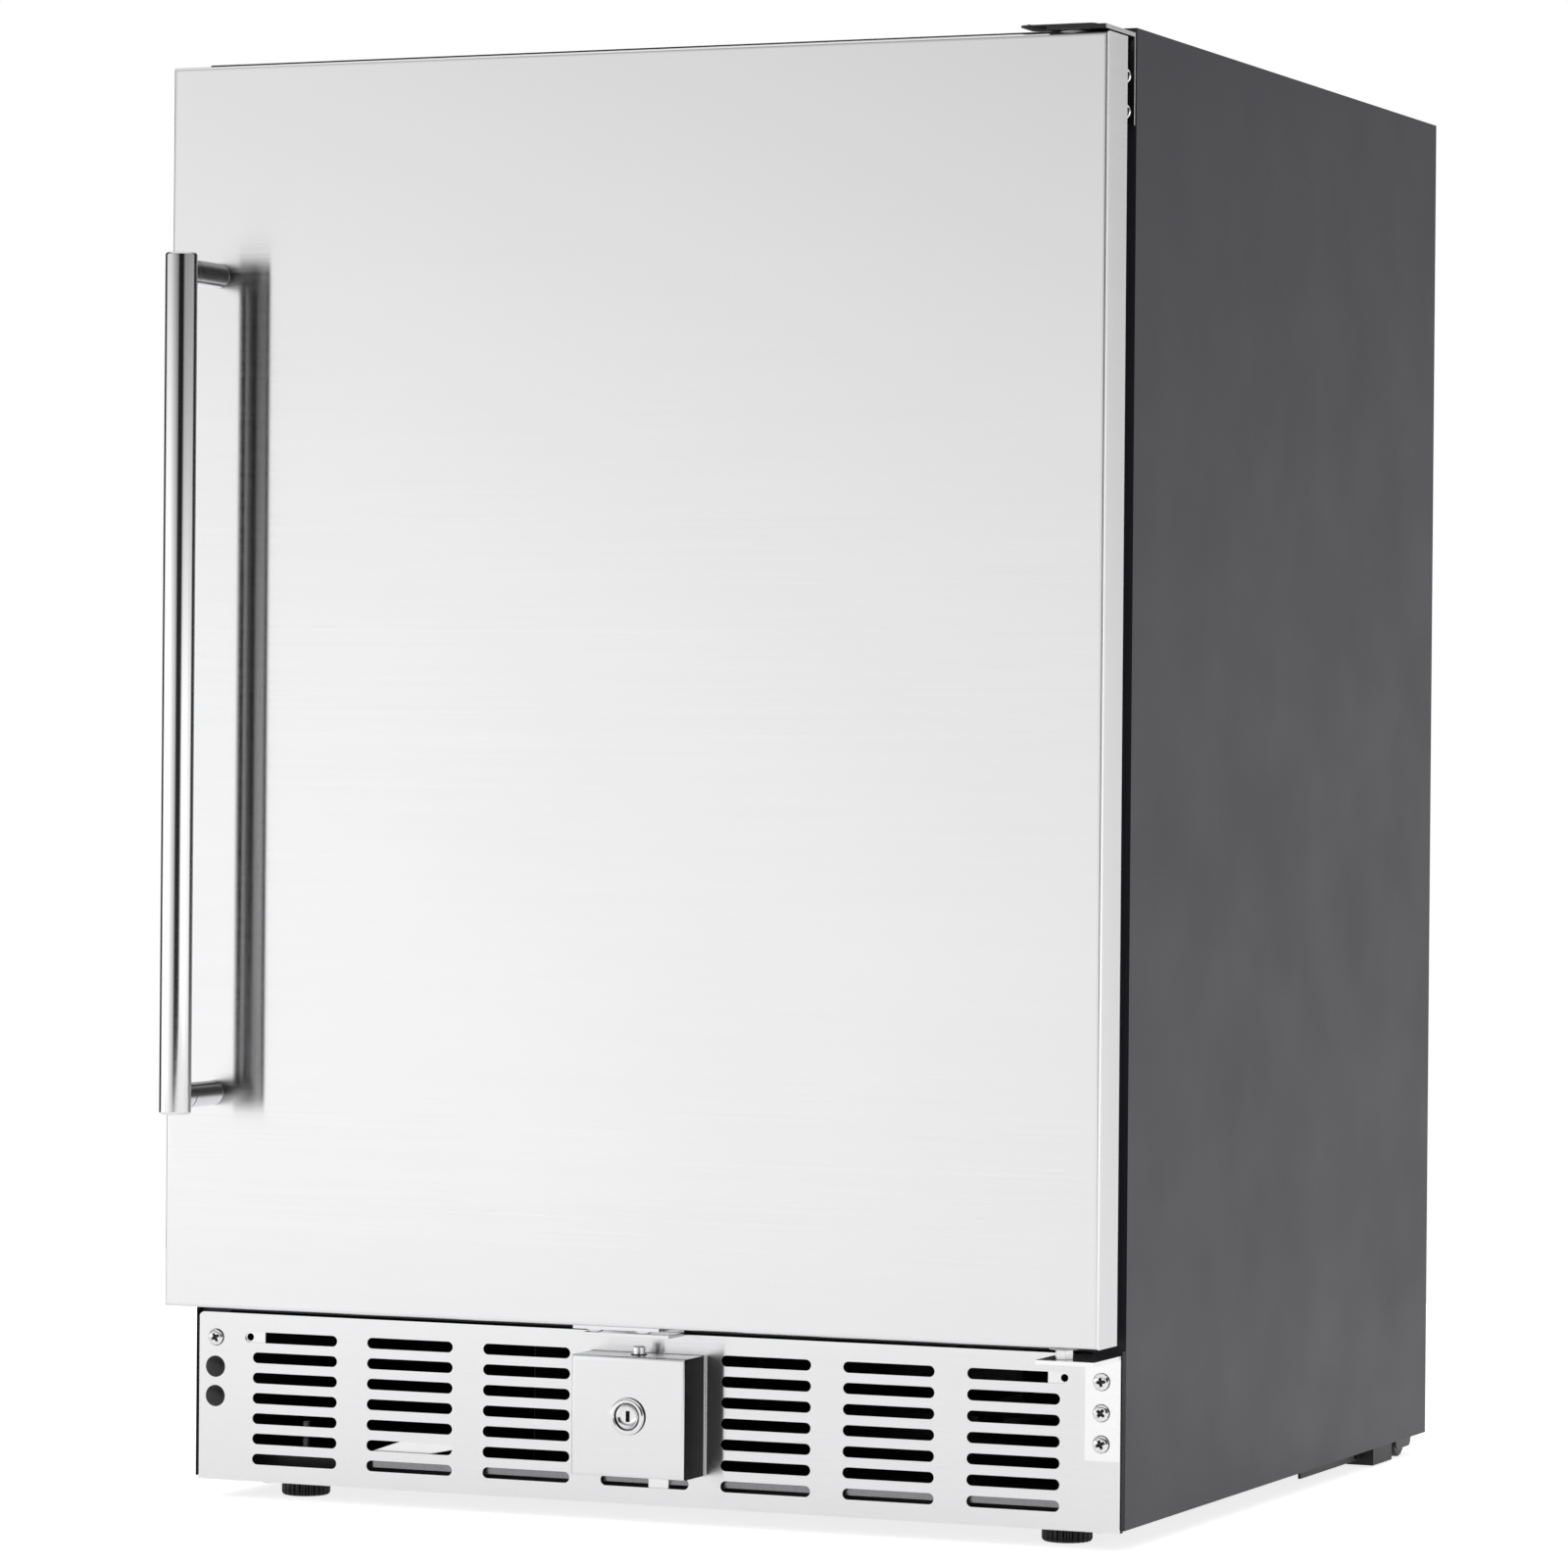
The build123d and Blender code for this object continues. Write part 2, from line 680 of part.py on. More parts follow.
slot_half = crank_pin_radius + yoke_play
bolt = rod_z(lock_x, bolt_y, 80, bolt_top, bolt_radius)
bolt = fillet(bolt.edges().sort_by(Axis.Z)[-1], 1.0)
bolt += block(lock_x - 13, lock_x + 13, yoke_front, yoke_back, crank_z - 6, 88)
bolt -= block(
    crank_x - slot_half - 0.3, lock_x + crank_radius + slot_half + 0.3, yoke_front, yoke_back,
    crank_z - slot_half, crank_z + slot_half
)
save("lock_bolt", bolt)

# Door
skin_half = half_width
skin_in = skin_half - door_sheet
skin = block(-skin_half, skin_half, -door_front, -door_back, door_bottom, door_top)
bends = [edge for edge in skin.edges().filter_by(Axis.Z) if edge.center().Y < -door_front + 1]
skin = fillet(bends, door_bend)
door_low_in = door_bottom + door_sheet
door_high_in = door_top - door_sheet
front_in = -door_front + door_sheet
skin -= block(-skin_in, skin_in, front_in, -door_back, door_low_in, door_high_in)
bush_low = rod_z(pivot_x, pivot_y, door_bottom, door_bottom + bush_depth, bush_radius)
bush_high = rod_z(pivot_x, pivot_y, door_top - bush_depth, door_top, bush_radius)
strike_mid = (strike_left + strike_right) / 2
strike_y = -38.0
strike_points = [strike_mid + sign * strike_screw_pitch / 2 for sign in (-1, 1)]
strike_holes = [rod_z(x, strike_y, door_bottom - 10, door_bottom + 8, shank_radius) for x in strike_points]
skin = skin - bush_low - bush_high - strike_holes
save("door_skin", skin)

rim_low = cavity_floor + rim_low_gap
rim_high = cavity_roof - rim_low_gap
rim_inside = rim_width - 2 * door_liner_wall
door_foam = block(-skin_in, skin_in, front_in, -door_back, door_low_in, door_high_in)
door_foam += frame_ring(
    rim_half - door_liner_wall, rim_low + door_liner_wall, rim_high - door_liner_wall, rim_inside,
    -door_back, rim_reach - door_liner_wall
)
door_foam = door_foam - bush_low - bush_high - strike_holes
save("door_foam", door_foam)

plate_inset = 0.8
door_liner = block(
    -skin_half + plate_inset, skin_half - plate_inset, -door_back, -door_inner,
    door_bottom + plate_inset, door_top - plate_inset
)
door_liner += frame_ring(rim_half, rim_low, rim_high, rim_width, -door_inner, rim_reach)
door_liner -= frame_ring(
    rim_half - door_liner_wall, rim_low + door_liner_wall, rim_high - door_liner_wall, rim_inside,
    -door_back, rim_reach - door_liner_wall
)
save("door_liner", door_liner)

gasket_half = cavity_half + gasket_inset + gasket_width
gasket = frame_ring(
    gasket_half, cavity_floor - gasket_inset - gasket_width, cavity_roof + gasket_inset + gasket_width,
    gasket_width, -door_inner, -gasket_gap
)
save("door_gasket", gasket)


def bushing(start, direction):
    """A flanged bush that enters the door from the plane z = start."""
    tube = Cylinder(bush_radius, bush_depth, align=bottom)
    tube += Pos(0, 0, -bush_flange_height) * Cylinder(bush_flange, bush_flange_height, align=bottom)
    bore = Pos(0, 0, -bush_flange_height) * Cylinder(
        pin_radius + pin_clearance, bush_depth + bush_flange_height, align=bottom
    )
    tube = tube - bore
    if direction < 0:
        tube = Rot(180, 0, 0) * tube
    return Pos(pivot_x, pivot_y, start) * tube


save("door_bushings", bushing(door_bottom, 1), bushing(door_top, -1))

bar_low = door_mid - bar_length / 2 + 1.7
bar = rod_z(handle_x, handle_y, bar_low, bar_low + bar_length, bar_radius)
save("handle_bar", fillet(bar.edges().filter_by(GeomType.CIRCLE), 1.5))

posts = []
bar_cut = rod_z(handle_x, handle_y, bar_low - 1, bar_low + bar_length + 1, bar_radius)
for sign in (-1, 1):
    z = bar_low + bar_length / 2 + sign * post_spacing / 2
    posts.append(rod_y(handle_x, z, handle_y, -door_front, post_radius) - bar_cut)
save("handle_posts", *posts)

strike_sheet = 2.0
strike_front = -44.0
strike_lip_front = -30.0
strike_back = -6.0
strike_web = strike_back - strike_sheet
plate_low = door_bottom - strike_sheet
strike_low = door_bottom - strike_drop
strike = block(strike_left, strike_right, strike_front, strike_back, plate_low, door_bottom)
strike += block(strike_left, strike_right, strike_web, strike_back, strike_low, plate_low)
strike += block(
    strike_left, strike_right, strike_lip_front, strike_web, strike_low, strike_low + strike_sheet
)
strike -= strike_holes
hole_half = bolt_radius + strike_play
strike -= block(
    lock_x - hole_half, lock_x + hole_half, bolt_y - hole_half, bolt_y + hole_half,
    strike_low, strike_low + strike_sheet
)
save("strike_bracket", strike)

strike_screws = []
for x in strike_points:
    head = rod_z(x, strike_y, plate_low - head_height, plate_low, head_radius)
    head = fillet(head.edges().sort_by(Axis.Z)[0], 1.4)
    strike_screws.append(head + rod_z(x, strike_y, plate_low, plate_low + 9, shank_radius))
save("strike_screws", *strike_screws)

# Screws of the cabinet
screws = [screw(*kick_screw, grille_front)]
screws += [screw(x, z, lower_face) for x, z in lower_screws]
screws += [screw(x, z, -leaf) for x, z in upper_screws]
for x, z in cover_screws:
    flipped = screw(-x, z, -panel_back)
    screws.append(Rot(0, 0, 180) * flipped)
save("panhead_screws", *screws)

# Compressor on four grommets
body = rod_z(compressor_x, compressor_y, tray_top + grommet_height + 4, compressor_top, compressor_radius)
body = fillet(body.edges().sort_by(Axis.Z)[-1], 34)
body = fillet(body.edges().filter_by(GeomType.CIRCLE).sort_by(Axis.Z)[0], 6)
foot_level = tray_top + grommet_height
compressor = body + block(
    compressor_x - 85, compressor_x + 85, compressor_y - 62, compressor_y + 62, foot_level, foot_level + 6
)
compressor += block(
    compressor_x + 60, compressor_x + 92, compressor_y - 24, compressor_y + 24, 90, 140
)
save("compressor", compressor)
grommets = []
for dx in (-75, 75):
    for dy in (-52, 52):
        centre = (compressor_x + dx, compressor_y + dy)
        grommets.append(rod_z(*centre, tray_top, foot_level, 8))
save("compressor_grommets", *grommets)

# Condenser coil, fan shroud, motor and blade, with the air drawn along +X
coil = Pos(0, (coil_front + coil_back) / 2, 0) * Pos(coil_x + coil_thickness / 2, 0, 0)
coil_length = coil_back - coil_front
fins = finned_coil(coil_length / 2 - 8, coil_bottom, coil_top, coil_thickness, 25, 6, 4)
coil_solid = coil * Rot(0, 0, 90) * fins
for y in (coil_front, coil_back - 2):
    coil_solid += block(coil_x, coil_x + coil_thickness, y, y + 2, tray_top, coil_top)
save("condenser_coil", coil_solid)

shroud = block(shroud_x, shroud_x + shroud_depth, coil_front, coil_back + 4, tray_top, coil_top)
shroud -= rod_x(room_fan_y, room_fan_z, shroud_x, shroud_x + shroud_depth, room_fan_radius + 3)
shroud -= block(
    shroud_x, shroud_x + shroud_depth - 3, coil_front + 3, coil_back + 1, tray_top + 3, coil_top - 3
) - rod_x(room_fan_y, room_fan_z, shroud_x, shroud_x + shroud_depth, room_fan_radius + 5)
save("condenser_fan_shroud", shroud)

motor_start = shroud_x + shroud_depth + 4
room_motor = rod_x(room_fan_y, room_fan_z, motor_start, motor_start + 40, 28)
room_motor += rod_x(room_fan_y, room_fan_z, shroud_x + 9.5, motor_start, 3)
arm_x = shroud_x + shroud_depth
for sign in (-1, 1):
    low_y, high_y = sorted((room_fan_y + sign * 20, room_fan_y + sign * 81.5))
    room_motor += block(arm_x, arm_x + 8, low_y, high_y, room_fan_z - 5, room_fan_z + 5)
save("condenser_fan_motor", room_motor)
room_fan_depth = 18.0
room_fan = Pos(shroud_x + room_fan_depth + 5, room_fan_y, room_fan_z) * Rot(0, -90, 0) * fan_blades(
    room_fan_radius, 20, room_fan_depth, 3 + axle_clearance, 5, 30
)
save("condenser_fan_blade", room_fan)


def pipe(points, radius, bend):
    path = FilletPolyline(*points, radius=bend)
    section = (path ^ 0) * Circle(radius)
    return sweep(section, path=path)


coil_mid_x = coil_x + coil_thickness / 2
line_entry = compressor_radius - 8
discharge = pipe(
    [(compressor_x - line_entry, 440, 150), (20, 440, 150), (20, 440, 258), (coil_mid_x, 440, 258),
     (coil_mid_x, 440, coil_top)], line_radius, 14
)
suction = pipe(
    [(compressor_x, compressor_y + line_entry, 120), (compressor_x, 556, 120),
     (compressor_x, 556, room_roof_rear)], line_radius, 10
)
liquid = pipe(
    [(coil_mid_x, 520, coil_top), (coil_mid_x, 520, 262), (30, 520, 262), (30, 520, room_roof_rear)],
    line_radius, 10
)
drier = rod_x(520, 262, -70, 10, 9)
drier = fillet(drier.edges().filter_by(GeomType.CIRCLE), 4)
save("refrigerant_lines", discharge - compressor, suction - compressor, liquid + drier)

# Upright sheet that parts the intake from the exhaust under the floor
baffle_line = Polyline((-90, 34), (-96, room_front + 8))
baffle = extrude(make_face(offset(baffle_line, amount=0.5, side=Side.BOTH)), room_roof_front - tray_top)
save("air_baffle", Pos(0, 0, tray_top) * baffle)

# Rear rollers between the ears of their brackets
roller_top = roller_radius + 20
brackets = []
for side_name, sign in (("left", -1), ("right", 1)):
    x = sign * roller_x
    half_roller = roller_width / 2
    inner = half_roller + ear_gap
    outer = inner + ear_sheet
    shape = block(x - outer, x + outer, roller_y - 16, roller_y + 16, 6, roller_top)
    shape -= block(x - inner, x + inner, roller_y - 16, roller_y + 16, 6, roller_top - 2)
    ear_edges = [edge for edge in shape.edges().filter_by(Axis.X) if edge.center().Z < 7]
    shape = fillet(ear_edges, 5)
    flange_in = x - sign * (outer + 12)
    low_x, high_x = sorted((x - sign * outer, flange_in))
    shape += block(low_x, high_x, roller_y - 16, roller_y + 16, tray_top, tray_top + 2)
    shape += rod_x(roller_y, roller_radius, x - outer, x + outer, axle_radius)
    brackets.append(shape)
    wheel = rod_x(roller_y, roller_radius, x - half_roller, x + half_roller, roller_radius)
    wheel = fillet(wheel.edges().filter_by(GeomType.CIRCLE), 1.5)
    wheel -= rod_x(roller_y, roller_radius, x - half_roller, x + half_roller, axle_radius + axle_clearance)
    save(f"{side_name}_rear_roller", wheel)
save("roller_brackets", *brackets)

# Front levelling feet: a stud in the tray's collar and a ribbed knob under it
for side_name, sign in (("left", -1), ("right", 1)):
    x = sign * foot_x
    knob = rod_z(x, foot_y, 0, knob_height, knob_radius)
    knob = fillet(knob.edges().sort_by(Axis.Z)[0], 3)
    grooves = []
    for i in range(24):
        turn = Rot(0, 0, i * 15)
        groove = Pos(knob_radius + 0.3, 0, 3.5) * Cylinder(1.1, 12, align=bottom)
        grooves.append(Pos(x, foot_y, 0) * turn * groove)
    knob -= grooves
    spigot = 4.0
    knob -= rod_z(x, foot_y, knob_height - spigot, knob_height, stud_radius - 1 + axle_clearance)
    save(f"{side_name}_foot_knob", knob)
    stud = rod_z(x, foot_y, knob_height + 0.2, stud_top, stud_radius)
    stud += rod_z(x, foot_y, knob_height - spigot + 0.2, knob_height + 0.2, stud_radius - 1)
    save(f"{side_name}_foot_stud", stud)
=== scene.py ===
import json
import math
import bpy
import bmesh
import numpy as np
from mathutils import Matrix, Vector

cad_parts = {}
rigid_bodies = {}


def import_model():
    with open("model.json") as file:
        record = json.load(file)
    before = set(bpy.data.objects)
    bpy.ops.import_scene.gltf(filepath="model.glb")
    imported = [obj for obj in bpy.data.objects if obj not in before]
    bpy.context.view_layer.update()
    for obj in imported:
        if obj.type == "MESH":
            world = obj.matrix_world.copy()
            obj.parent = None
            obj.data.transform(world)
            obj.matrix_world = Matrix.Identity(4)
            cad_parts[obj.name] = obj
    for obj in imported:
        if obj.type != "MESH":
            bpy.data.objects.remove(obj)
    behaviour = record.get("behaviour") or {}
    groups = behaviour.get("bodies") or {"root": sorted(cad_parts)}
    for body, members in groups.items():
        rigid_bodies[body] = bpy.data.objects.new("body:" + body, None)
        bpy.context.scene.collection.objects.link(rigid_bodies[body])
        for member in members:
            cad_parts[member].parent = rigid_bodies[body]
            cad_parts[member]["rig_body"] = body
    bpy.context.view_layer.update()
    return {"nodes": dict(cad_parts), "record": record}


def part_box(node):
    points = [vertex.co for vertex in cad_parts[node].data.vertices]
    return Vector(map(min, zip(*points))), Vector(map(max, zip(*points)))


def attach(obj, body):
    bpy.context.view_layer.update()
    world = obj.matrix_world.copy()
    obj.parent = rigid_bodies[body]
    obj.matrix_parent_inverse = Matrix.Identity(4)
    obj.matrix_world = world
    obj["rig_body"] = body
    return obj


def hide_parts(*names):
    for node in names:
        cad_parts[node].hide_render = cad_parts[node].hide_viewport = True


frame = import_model()
cadNodes = frame["nodes"]
nodeBody = {name: obj["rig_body"] for name, obj in cadNodes.items()}
nodeSlot = {part["node"]: part["material_slot"] for part in frame["record"]["subparts"]}
mm = 0.001
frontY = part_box("left_side_panel")[0].y  # the cabinet's front plane
print("frame loaded:", len(cadNodes), "nodes")


# ---- shader helpers ----

def addNode(tree, kind, inputs=None, **props):
    node = tree.nodes.new(kind)
    for key, value in props.items():
        setattr(node, key, value)
    for key, value in (inputs or {}).items():
        if isinstance(value, bpy.types.NodeSocket):
            tree.links.new(value, node.inputs[key])
        else:
            node.inputs[key].default_value = value
    return node


def math2(tree, operation, a, b=0.0):
    return addNode(tree, "ShaderNodeMath", {0: a, 1: b}, operation=operation).outputs[0]


def remap(tree, value, low, high, toLow, toHigh):
    return addNode(tree, "ShaderNodeMapRange", {
        "Value": value, "From Min": low, "From Max": high, "To Min": toLow, "To Max": toHigh
    }).outputs["Result"]


def noise(tree, vector, scale, detail=3.0, roughness=0.5):
    return addNode(tree, "ShaderNodeTexNoise", {
        "Vector": vector, "Scale": scale, "Detail": detail, "Roughness": roughness
    }).outputs["Fac"]


def newGroup(name, sockets, outputs):
    group = bpy.data.node_groups.new(name, "ShaderNodeTree")
    for label, kind, value in sockets:
        socket = group.interface.new_socket(label, in_out="INPUT", socket_type=kind)
        if value is not None:
            socket.default_value = value
    for label in outputs:
        group.interface.new_socket(label, in_out="OUTPUT", socket_type="NodeSocketFloat")
    return group, group.nodes.new("NodeGroupInput").outputs, group.nodes.new("NodeGroupOutput").inputs


floatSocket = "NodeSocketFloat"
vectorSocket = "NodeSocketVector"


def makeBrushGroup():
    # long thin streaks: noise read on coordinates squeezed along the grain, at two widths, plus a slow cloud
    group, given, out = newGroup("brushedGrain", [
        ("Vector", vectorSocket, None), ("Squeeze", vectorSocket, (1, 1, 1)), ("Cloud Size", floatSocket, 3.0)
    ], ["Streak", "Cloud"])
    squeezed = addNode(group, "ShaderNodeVectorMath", {
        0: given["Vector"], 1: given["Squeeze"]
    }, operation="MULTIPLY").outputs[0]
    fine = noise(group, squeezed, 1.0, 2.0, 0.6)
    broad = noise(group, squeezed, 0.23, 3.0, 0.55)
    mixed = math2(group, "ADD", math2(group, "MULTIPLY", fine, 0.6), math2(group, "MULTIPLY", broad, 0.4))
    group.links.new(mixed, out["Streak"])
    cloud = noise(group, given["Vector"], given["Cloud Size"], 4.0, 0.5)
    group.links.new(cloud, out["Cloud"])
    return group


def makeWearGroup():
    # edge mask: how far a rounded-off normal leans from the true one, broken up by noise
    group, given, out = newGroup("edgeWear", [
        ("Vector", vectorSocket, None), ("Radius", floatSocket, 0.001), ("Amount", floatSocket, 1.0)
    ], ["Edge"])
    soft = addNode(group, "ShaderNodeBevel", {"Radius": given["Radius"]}, samples=4).outputs[0]
    true = addNode(group, "ShaderNodeNewGeometry").outputs["Normal"]
    dot = addNode(group, "ShaderNodeVectorMath", {0: soft, 1: true}, operation="DOT_PRODUCT").outputs["Value"]
    lean = remap(group, dot, 0.98, 0.75, 0.0, 1.0)
    chips = remap(group, noise(group, given["Vector"], 260.0, 4.0, 0.6), 0.35, 0.6, 0.2, 1.0)
    edge = math2(group, "MULTIPLY", math2(group, "MULTIPLY", lean, chips), given["Amount"])
    group.links.new(edge, out["Edge"])
    return group


def makeDustGroup():
    # fine specks over a slow drift, thicker near the floor
    group, given, out = newGroup("dust", [
        ("Vector", vectorSocket, None), ("Reach", floatSocket, 0.12), ("Amount", floatSocket, 0.2)
    ], ["Dust"])
    height = addNode(group, "ShaderNodeSeparateXYZ", {0: given["Vector"]}).outputs["Z"]
    low = addNode(group, "ShaderNodeMapRange", {
        "Value": height, "From Min": 0.0, "From Max": given["Reach"], "To Min": 1.0, "To Max": 0.15
    }).outputs["Result"]
    specks = remap(group, noise(group, given["Vector"], 900.0, 2.0), 0.5, 0.8, 0.0, 1.0)
    drift = remap(group, noise(group, given["Vector"], 9.0, 4.0), 0.35, 0.75, 0.1, 1.0)
    mask = math2(group, "MULTIPLY", math2(group, "MULTIPLY", specks, drift), low)
    group.links.new(math2(group, "MULTIPLY", mask, given["Amount"]), out["Dust"])
    return group


def makePeelGroup():
    # sprayed paint or moulded skin: small cells softened by noise
    group, given, out = newGroup("peel", [
        ("Vector", vectorSocket, None), ("Grain Size", floatSocket, 700.0)
    ], ["Height", "Mottle"])
    cells = addNode(group, "ShaderNodeTexVoronoi", {
        "Vector": given["Vector"], "Scale": given["Grain Size"]
    }, feature="SMOOTH_F1").outputs["Distance"]
    grain = addNode(group, "ShaderNodeTexNoise", {
        "Vector": given["Vector"], "Scale": given["Grain Size"], "Detail": 3.0
    }).outputs["Fac"]
    both = math2(group, "ADD", math2(group, "MULTIPLY", cells, 0.6), math2(group, "MULTIPLY", grain, 0.5))
    group.links.new(both, out["Height"])
    group.links.new(noise(group, given["Vector"], 14.0, 4.0), out["Mottle"])
    return group


brushGroup = makeBrushGroup()
wearGroup = makeWearGroup()
dustGroup = makeDustGroup()
peelGroup = makePeelGroup()


def startMaterial(name):
    material = bpy.data.materials.new(name)
    material.use_nodes = True
    tree = material.node_tree
    shader = tree.nodes["Principled BSDF"]
    where = tree.nodes.new("ShaderNodeTexCoord").outputs["Object"]
    return material, tree, shader, where


def useGroup(tree, group, inputs):
    node = tree.nodes.new("ShaderNodeGroup")
    node.node_tree = group
    for key, value in inputs.items():
        if isinstance(value, bpy.types.NodeSocket):
            tree.links.new(value, node.inputs[key])
        else:
            node.inputs[key].default_value = value
    return node.outputs


def blendColour(tree, factor, first, second):
    node = tree.nodes.new("ShaderNodeMix")
    node.data_type = "RGBA"
    for key, value in ((0, factor), (6, first), (7, second)):
        if isinstance(value, bpy.types.NodeSocket):
            tree.links.new(value, node.inputs[key])
        elif key == 0:
            node.inputs[key].default_value = value
        else:
            node.inputs[key].default_value = (*value, 1)
    return node.outputs[2]


def bump(tree, shader, height, strength, distance):
    node = addNode(tree, "ShaderNodeBump", {"Height": height, "Strength": strength, "Distance": distance})
    tree.links.new(node.outputs[0], shader.inputs["Normal"])


def dusted(tree, where, colour, amount):
    dust = useGroup(tree, dustGroup, {"Vector": where, "Amount": amount})["Dust"]
    return blendColour(tree, dust, colour, (0.55, 0.53, 0.5))


def brushedSteel(name, look):
    material, tree, shader, where = startMaterial(name)
    grain = useGroup(tree, brushGroup, {"Vector": where, "Squeeze": look["squeeze"], "Cloud Size": 2.5})
    tone = remap(tree, grain["Streak"], 0.3, 0.7, 0.0, 1.0)
    dark = tuple(c * look.get("streak", 0.95) for c in look["colour"])
    colour = blendColour(tree, tone, dark, look["colour"])
    edge = useGroup(tree, wearGroup, {"Vector": where, "Radius": 0.0008, "Amount": 0.5})["Edge"]
    colour = blendColour(tree, edge, colour, (0.93, 0.93, 0.94))
    if "reflectionShade" in look:  # painted shade: in rays other than camera rays the bar's colour is cut to this fraction, so the door's reflection shows the bar's back darker
        direct = tree.nodes.new("ShaderNodeLightPath").outputs["Is Camera Ray"]
        colour = blendColour(tree, direct, tuple(c * look["reflectionShade"] for c in look["colour"]), colour)
    tree.links.new(dusted(tree, where, colour, look.get("dust", 0.06)), shader.inputs["Base Color"])
    rough = math2(tree, "ADD", remap(tree, grain["Streak"], 0.3, 0.7, -0.03, 0.03),
                  remap(tree, grain["Cloud"], 0.3, 0.7, look["rough"] - 0.012, look["rough"] + 0.012))
    tree.links.new(rough, shader.inputs["Roughness"])
    shader.inputs["Metallic"].default_value = 1.0
    shader.inputs["Anisotropic"].default_value = look.get("stretch", 0.0)
    shader.inputs["Anisotropic Rotation"].default_value = look.get("turn", 0.0)
    bump(tree, shader, grain["Streak"], look.get("bump", 0.05), 0.0002)
    return material


def paintedMetal(name, look):
    material, tree, shader, where = startMaterial(name)
    skin = useGroup(tree, peelGroup, {"Vector": where, "Grain Size": look.get("grain", 650.0)})
    shade = tuple(c * 0.88 for c in look["colour"])
    colour = blendColour(tree, remap(tree, skin["Mottle"], 0.3, 0.7, 0, 1), shade, look["colour"])
    wear = {"Vector": where, "Radius": 0.0006, "Amount": look.get("wear", 0.25)}
    edge = useGroup(tree, wearGroup, wear)["Edge"]
    colour = blendColour(tree, edge, colour, look.get("under", (0.35, 0.35, 0.36)))
    tree.links.new(dusted(tree, where, colour, look.get("dust", 0.15)), shader.inputs["Base Color"])
    rough = remap(tree, skin["Mottle"], 0.3, 0.7, look["rough"] - 0.04, look["rough"] + 0.04)
    tree.links.new(rough, shader.inputs["Roughness"])
    shader.inputs["Specular IOR Level"].default_value = look.get("specular", 0.5)
    bump(tree, shader, skin["Height"], look.get("bump", 0.06), 0.0003)
    return material


def zincPlate(name, look):
    material, tree, shader, where = startMaterial(name)
    cells = addNode(tree, "ShaderNodeTexVoronoi", {"Vector": where, "Scale": look["spangle"]}, feature="F1")
    tone = addNode(tree, "ShaderNodeSeparateColor", {0: cells.outputs["Color"]}).outputs[0]
    dark = tuple(c * look.get("contrast", 0.86) for c in look["colour"])
    colour = blendColour(tree, tone, dark, look["colour"])
    edge = useGroup(tree, wearGroup, {"Vector": where, "Radius": 0.0006, "Amount": 0.5})["Edge"]
    colour = blendColour(tree, edge, colour, (0.9, 0.9, 0.91))
    tree.links.new(dusted(tree, where, colour, look.get("dust", 0.15)), shader.inputs["Base Color"])
    rough = math2(tree, "ADD", remap(tree, tone, 0, 1, look["rough"] - 0.05, look["rough"] + 0.05),
                  remap(tree, noise(tree, where, 300.0), 0.3, 0.7, -0.03, 0.03))
    tree.links.new(rough, shader.inputs["Roughness"])
    shader.inputs["Metallic"].default_value = 1.0
    bump(tree, shader, noise(tree, where, 500.0, 3.0), 0.05, 0.0002)
    return material


def moulded(name, look):
    material, tree, shader, where = startMaterial(name)
    skin = useGroup(tree, peelGroup, {"Vector": where, "Grain Size": look.get("grain", 1400.0)})
    shade = tuple(c * 0.8 for c in look["colour"])
    colour = blendColour(tree, remap(tree, skin["Mottle"], 0.3, 0.7, 0, 1), shade, look["colour"])
    wear = {"Vector": where, "Radius": 0.0005, "Amount": look.get("wear", 0.2)}
    edge = useGroup(tree, wearGroup, wear)["Edge"]
    colour = blendColour(tree, edge, colour, tuple(min(1.0, c * 1.5 + 0.03) for c in look["colour"]))
    tree.links.new(dusted(tree, where, colour, look.get("dust", 0.2)), shader.inputs["Base Color"])
    rough = remap(tree, skin["Height"], 0.2, 0.8, look["rough"] - 0.06, look["rough"] + 0.06)
    tree.links.new(rough, shader.inputs["Roughness"])
    shader.inputs["Transmission Weight"].default_value = look.get("clear", 0.0)
    bump(tree, shader, skin["Height"], look.get("bump", 0.12), 0.0003)
    return material


